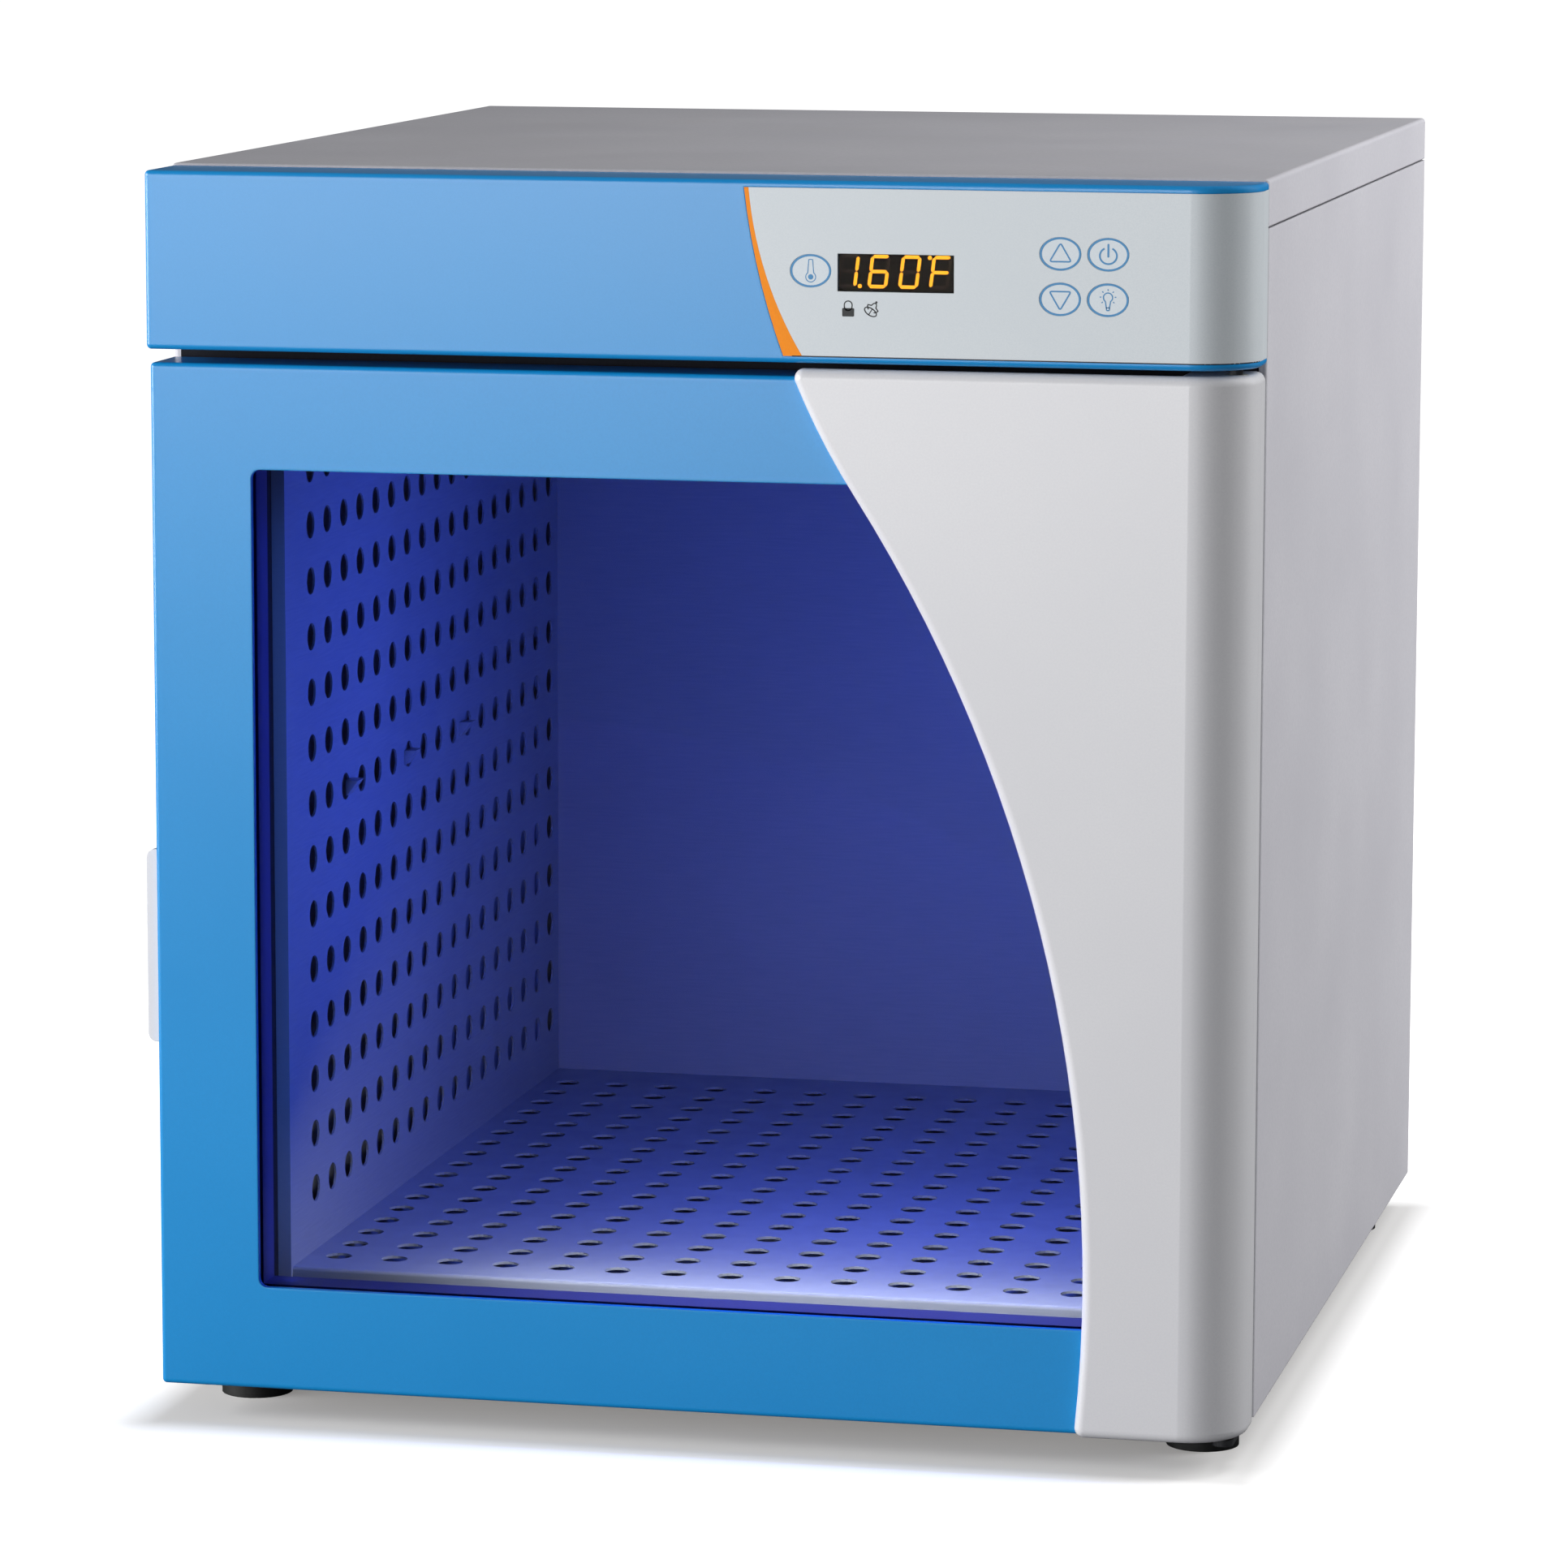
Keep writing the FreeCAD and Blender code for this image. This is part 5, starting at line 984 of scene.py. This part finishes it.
def bell_sign():
    """A tilted bell in outline: its flared body, its mouth, the clapper's stroke and the crown."""
    body = flat_shape("bell", 24, 1.35 * MM, size=(1.0, 1.7), middle=(0, 0.6 * MM))
    pick_points(body, lambda point: point.y < 0.7 * MM)
    bpy.ops.transform.resize(value=(2.1, 1.0, 1.0), center_override=(0, 0, 0))
    leave_edit()
    outline_of(body, FINE_LINE)
    pick_faces(body, lambda middle, normal: middle.y < -1.0 * MM)
    bpy.ops.mesh.delete(type="FACE")
    leave_edit()
    mouth = flat_shape("mouth", 28, 1.0, size=(3.15 * MM, 1.75 * MM), middle=(0, -1.6 * MM))
    outline_of(mouth, FINE_LINE)
    stroke = bar("stroke", (0, -0.1 * MM), (0, -3.1 * MM), 0.4 * MM)
    crown = bar("crown", (0, 2.7 * MM), (0, 3.7 * MM), 1.0 * MM)
    parts = [body, mouth, stroke, crown]
    for part in parts:
        part.rotation_euler = (0, 0, BELL_TILT)
        settle(part)
    return parts


overlay_low, overlay_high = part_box("control_overlay")
for name, draw, x, z in (
    ("print_lock", lock_sign, 69.2 * MM, 501.4 * MM),
    ("print_bell", bell_sign, 79.7 * MM, 501.2 * MM),
):
    lay_print(name, draw(), x, overlay_low.y - PRINT_PROUD + PRINT_THICK, z,
              INK_AND_SHADOW_BLACK, "cabinet")


HEADER_CORNER = 27.0 * MM
# Painted shadow line under the overlay: its width, where it starts and how far it turns round the corner.
SHADOW_LINE = 0.5 * MM
SHADOW_LINE_START = 19.0 * MM
SHADOW_LINE_TURN = -math.pi * 0.44


def overlay_painted_shadow_line():
    """A painted shadow: a dark line along the overlay's lower edge where the gap under it lies in shade,
    straight and then round the header's corner.
    """
    clear_bench()
    bend_x = overlay_high.x - HEADER_CORNER
    front = overlay_low.y - PRINT_PROUD + PRINT_THICK / 2
    start_x = overlay_low.x + SHADOW_LINE_START
    bpy.ops.mesh.primitive_plane_add(size=1, location=(0, 0, 0), rotation=(math.pi / 2, 0, 0))
    line = settle(named("overlay_painted_shadow_line"))
    line.scale = (bend_x - start_x, 1, SHADOW_LINE)
    line.location = ((bend_x + start_x) / 2, front, overlay_low.z + 0.05 * MM)
    settle(line)
    pick_points(line, lambda point: point.x > bend_x - NEAR)
    bpy.ops.mesh.select_mode(type="EDGE")
    bpy.ops.mesh.spin(steps=14, angle=SHADOW_LINE_TURN, center=(bend_x, front + HEADER_CORNER, 0),
                      axis=(0, 0, 1))
    leave_edit()
    add_modifier(line, "SOLIDIFY", thickness=PRINT_THICK, offset=0.0)
    outward(line)
    # Black ink stands in for the shade under the overlay's lower edge: painted shadow.
    return dress(line, INK_AND_SHADOW_BLACK, "cabinet")


overlay_painted_shadow_line()


# ---------------------------------------------------------------------------
# Numbers on the display: slanted seven-segment digits
# ---------------------------------------------------------------------------

DIGIT_HIGH = 14.2 * MM
DIGIT_WIDE = 8.6 * MM
DIGIT_LINE = 1.45 * MM
DIGIT_SLANT = 0.125
DIGIT_PITCH = 13.3 * MM
DIGIT_FIRST = 68.7 * MM
SEGMENT_GAP = 0.3 * MM
POINT_RADIUS = 0.9 * MM

UP = (DIGIT_HIGH - DIGIT_LINE) / 2
OUT = (DIGIT_WIDE - DIGIT_LINE) / 2
SEGMENTS = {
    "a": (0.0, UP, True),
    "b": (OUT, UP / 2, False),
    "c": (OUT, -UP / 2, False),
    "d": (0.0, -UP, True),
    "e": (-OUT, -UP / 2, False),
    "f": (-OUT, UP / 2, False),
    "g": (0.0, 0.0, True),
}
DIGITS = ("bc", "acdefg", "abcdef", "aefg")
POINTS = ((73.7 * MM, -UP + 0.1 * MM), (103.9 * MM, UP - 0.2 * MM))


def segment(name, x, y, lying):
    """One bar of a digit, pointed at both ends."""
    length = (2 * OUT if lying else UP) - SEGMENT_GAP
    blade = flat_shape("blade", 4, math.sqrt(0.5), turn=math.pi / 4)
    blade.scale = (DIGIT_LINE, length, 1)
    settle(blade)
    rounded_corners(blade, DIGIT_LINE * 0.45, 1)
    if lying:
        blade.rotation_euler = (0, 0, math.pi / 2)
    blade.location = (x, y, 0)
    settle(blade)
    blade.name = name
    return blade


def digit(place, lit):
    """The lit and the unlit bars of one digit, leaning to the right."""
    shown = []
    hidden = []
    for letter, (x, y, lying) in SEGMENTS.items():
        blade = segment("segment_" + letter, x, y, lying)
        for point in blade.data.vertices:
            point.co.x += DIGIT_SLANT * point.co.y
        blade.location = (place, 0, 0)
        settle(blade)
        (shown if letter in lit else hidden).append(blade)
    return shown, hidden


window_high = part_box("display_window")[1]
digits_z = window_high.z - 0.4 * MM - DIGIT_HIGH / 2
digits_y = window_high.y - 0.25 * MM
all_lit = []
all_unlit = []
for index, letters in enumerate(DIGITS):
    shown, hidden = digit(DIGIT_FIRST + index * DIGIT_PITCH, letters)
    all_lit += shown
    all_unlit += hidden
for place in POINTS:
    all_lit.append(flat_shape("point", 16, POINT_RADIUS, middle=place))
lay_print("display_digits", all_lit, 0, digits_y, digits_z, LED_LIT, "cabinet")
lay_print("display_segments_off", all_unlit, 0, digits_y, digits_z,
          LED_UNLIT, "cabinet")


# ---------------------------------------------------------------------------
# Floor, lights and camera
# ---------------------------------------------------------------------------

FLOOR_SIZE = 120.0
# Painted contact shadow: the floor's glow colour right at the cabinet's footprint, fading to the far glow
# within SHADOW_REACH.
FLOOR_PAINTED_SHADOW = (0.22, 0.2134, 0.209, 1.0)
FLOOR_GLOW_FAR = (0.97, 0.97, 0.97, 1.0)
SHADOW_REACH = 38.0 * MM


def studio_floor():
    """A pale floor that glows when seen directly or through glass, and throws little light back.

    Its glow falls off within a short reach of the cabinet's footprint: a painted contact shadow.
    """
    clear_bench()
    bpy.ops.mesh.primitive_plane_add(size=FLOOR_SIZE, location=(0, 0, 0))
    floor = named("studio_floor")
    finish = Finish("floor_pale", Roughness=0.9)
    tree = finish.tree
    cloud = noise(tree, finish.place.outputs["Object"], 1.5, 2.0, 0.5)
    colour = blended(tree, cloud, (0.86, 0.86, 0.86, 1.0), (0.90, 0.90, 0.90, 1.0))
    tree.links.new(colour, finish.shader.inputs["Base Color"])
    finish.shader.inputs["Specular IOR Level"].default_value = 0.0
    finish.shader.inputs["Emission Strength"].default_value = 1.0
    place = finish.place.outputs["Object"]
    for operation, corner in (
        ("ABSOLUTE", None),
        ("SUBTRACT", (cad_high.x, cad_high.y, 0.0)),
        ("MAXIMUM", (0.0, 0.0, 0.0)),
    ):
        step = add_node(tree, "ShaderNodeVectorMath", operation=operation)
        tree.links.new(place, step.inputs[0])
        if corner is not None:
            step.inputs[1].default_value = corner
        place = step.outputs["Vector"]
    reach = add_node(tree, "ShaderNodeVectorMath", operation="LENGTH")
    tree.links.new(place, reach.inputs[0])
    # Painted contact shadow: the glow darkens towards the cabinet's footprint.
    beyond_painted_shadow = sharpened(tree, reach.outputs["Value"], 0.0, SHADOW_REACH)
    glow = blended(tree, beyond_painted_shadow, FLOOR_PAINTED_SHADOW, FLOOR_GLOW_FAR)
    tree.links.new(glow, finish.shader.inputs["Emission Color"])
    quiet = add_node(tree, "ShaderNodeBsdfDiffuse")
    quiet.inputs["Color"].default_value = (0.12, 0.12, 0.125, 1.0)
    path = add_node(tree, "ShaderNodeLightPath")
    bounces = arithmetic(tree, "ADD", path.outputs["Glossy Depth"], path.outputs["Diffuse Depth"])
    seen = add_node(tree, "ShaderNodeMixShader")
    tree.links.new(arithmetic(tree, "LESS_THAN", bounces, 0.5), seen.inputs[0])
    tree.links.new(quiet.outputs["BSDF"], seen.inputs[1])
    tree.links.new(finish.shader.outputs["BSDF"], seen.inputs[2])
    tree.links.new(seen.outputs["Shader"], tree.nodes["Material Output"].inputs["Surface"])
    floor.data.materials.append(finish.material)


WHITE = (1.0, 1.0, 1.0)
DEEP_BLUE = (0.1, 0.25, 1.0)
VIOLET_BLUE = (0.07, 0.14, 1.0)

# Name, place, where it looks, size, watts, colour, and whether shiny faces show it.
SOFT_LIGHTS = (
    ("left_softbox", (-2.5, -1.35, 0.75), (0.0, -0.2, 0.3), (1.4, 1.5), 70.0, WHITE, True),
    ("right_softbox", (2.6, 1.2, 1.2), (0.0, 0.0, 0.3), (1.4, 2.0), 64.0, WHITE, False),
    ("top_fill", (0.75, 0.1, 1.25), (0.15, -0.1, 0.556), (0.5, 0.5), 4.2, WHITE, False),
    ("front_panel", (-1.5, -6.2, 0.62), (-0.1, -0.28, 0.45), (3.0, 1.2), 60.0, WHITE, True),
    ("front_fill", (-3.4, -4.6, 0.9), (-0.1, -0.28, 0.3), (3.0, 1.8), 105.0, WHITE, False),
    ("sill_glow", (0.045, -0.266, 0.115), (0.045, -0.231, 0.058), (0.3, 0.004), 0.55, WHITE, False),
    ("jamb_glow", (-0.186, -0.266, 0.23), (-0.2, -0.2335, 0.23), (0.004, 0.34), 0.05,
     DEEP_BLUE, False),
)


def soft_light(name, place, aim, size, energy, colour, mirrored):
    """A soft rectangular light that neither the camera nor the window's glass shows."""
    clear_bench()
    bpy.ops.object.light_add(type="AREA", location=place)
    light = bpy.context.active_object
    light.name = name
    light.data.shape = "RECTANGLE"
    light.data.size, light.data.size_y = size
    light.data.energy = energy
    light.data.color = colour
    light.rotation_euler = (Vector(aim) - Vector(place)).to_track_quat("-Z", "Y").to_euler()
    light.visible_camera = False
    light.visible_glossy = mirrored
    light.visible_transmission = False


def chamber_lamp():
    """The glow inside the chamber: a small round light that itself stays unseen."""
    clear_bench()
    bpy.ops.object.light_add(type="POINT", location=(0.05, -0.15, 0.27))
    lamp = named("chamber_glow")
    lamp.data.energy = 4.2
    lamp.data.color = VIOLET_BLUE
    lamp.data.shadow_soft_size = 0.04
    lamp.visible_camera = False
    lamp.visible_glossy = False
    lamp.visible_transmission = False


studio_floor()
world = bpy.data.worlds.new("studio_air")
bpy.context.scene.world = world
world.use_nodes = True
air = world.node_tree.nodes["Background"]
air.inputs["Color"].default_value = (0.97, 0.98, 1.0, 1.0)
air.inputs["Strength"].default_value = 0.11

for settings in SOFT_LIGHTS:
    soft_light(*settings)
chamber_lamp()

CAMERA_PLACE = (0.65492, -3.04225, 0.72342)
CAMERA_HEADING = 0.21884
CAMERA_DIP = 0.15006
CAMERA_ROLL = 0.0022
CAMERA_LENS = 152.82

bpy.ops.object.camera_add(location=CAMERA_PLACE)
camera = bpy.context.active_object
camera.name = "camera"
camera.data.sensor_width = 36.0
camera.data.lens = CAMERA_LENS
turn = (
    Matrix.Rotation(CAMERA_HEADING, 4, "Z")
    @ Matrix.Rotation(math.pi / 2 - CAMERA_DIP, 4, "X")
    @ Matrix.Rotation(CAMERA_ROLL, 4, "Z")
)
camera.rotation_euler = turn.to_euler()
bpy.context.scene.camera = camera
bpy.context.scene.view_settings.view_transform = "Standard"
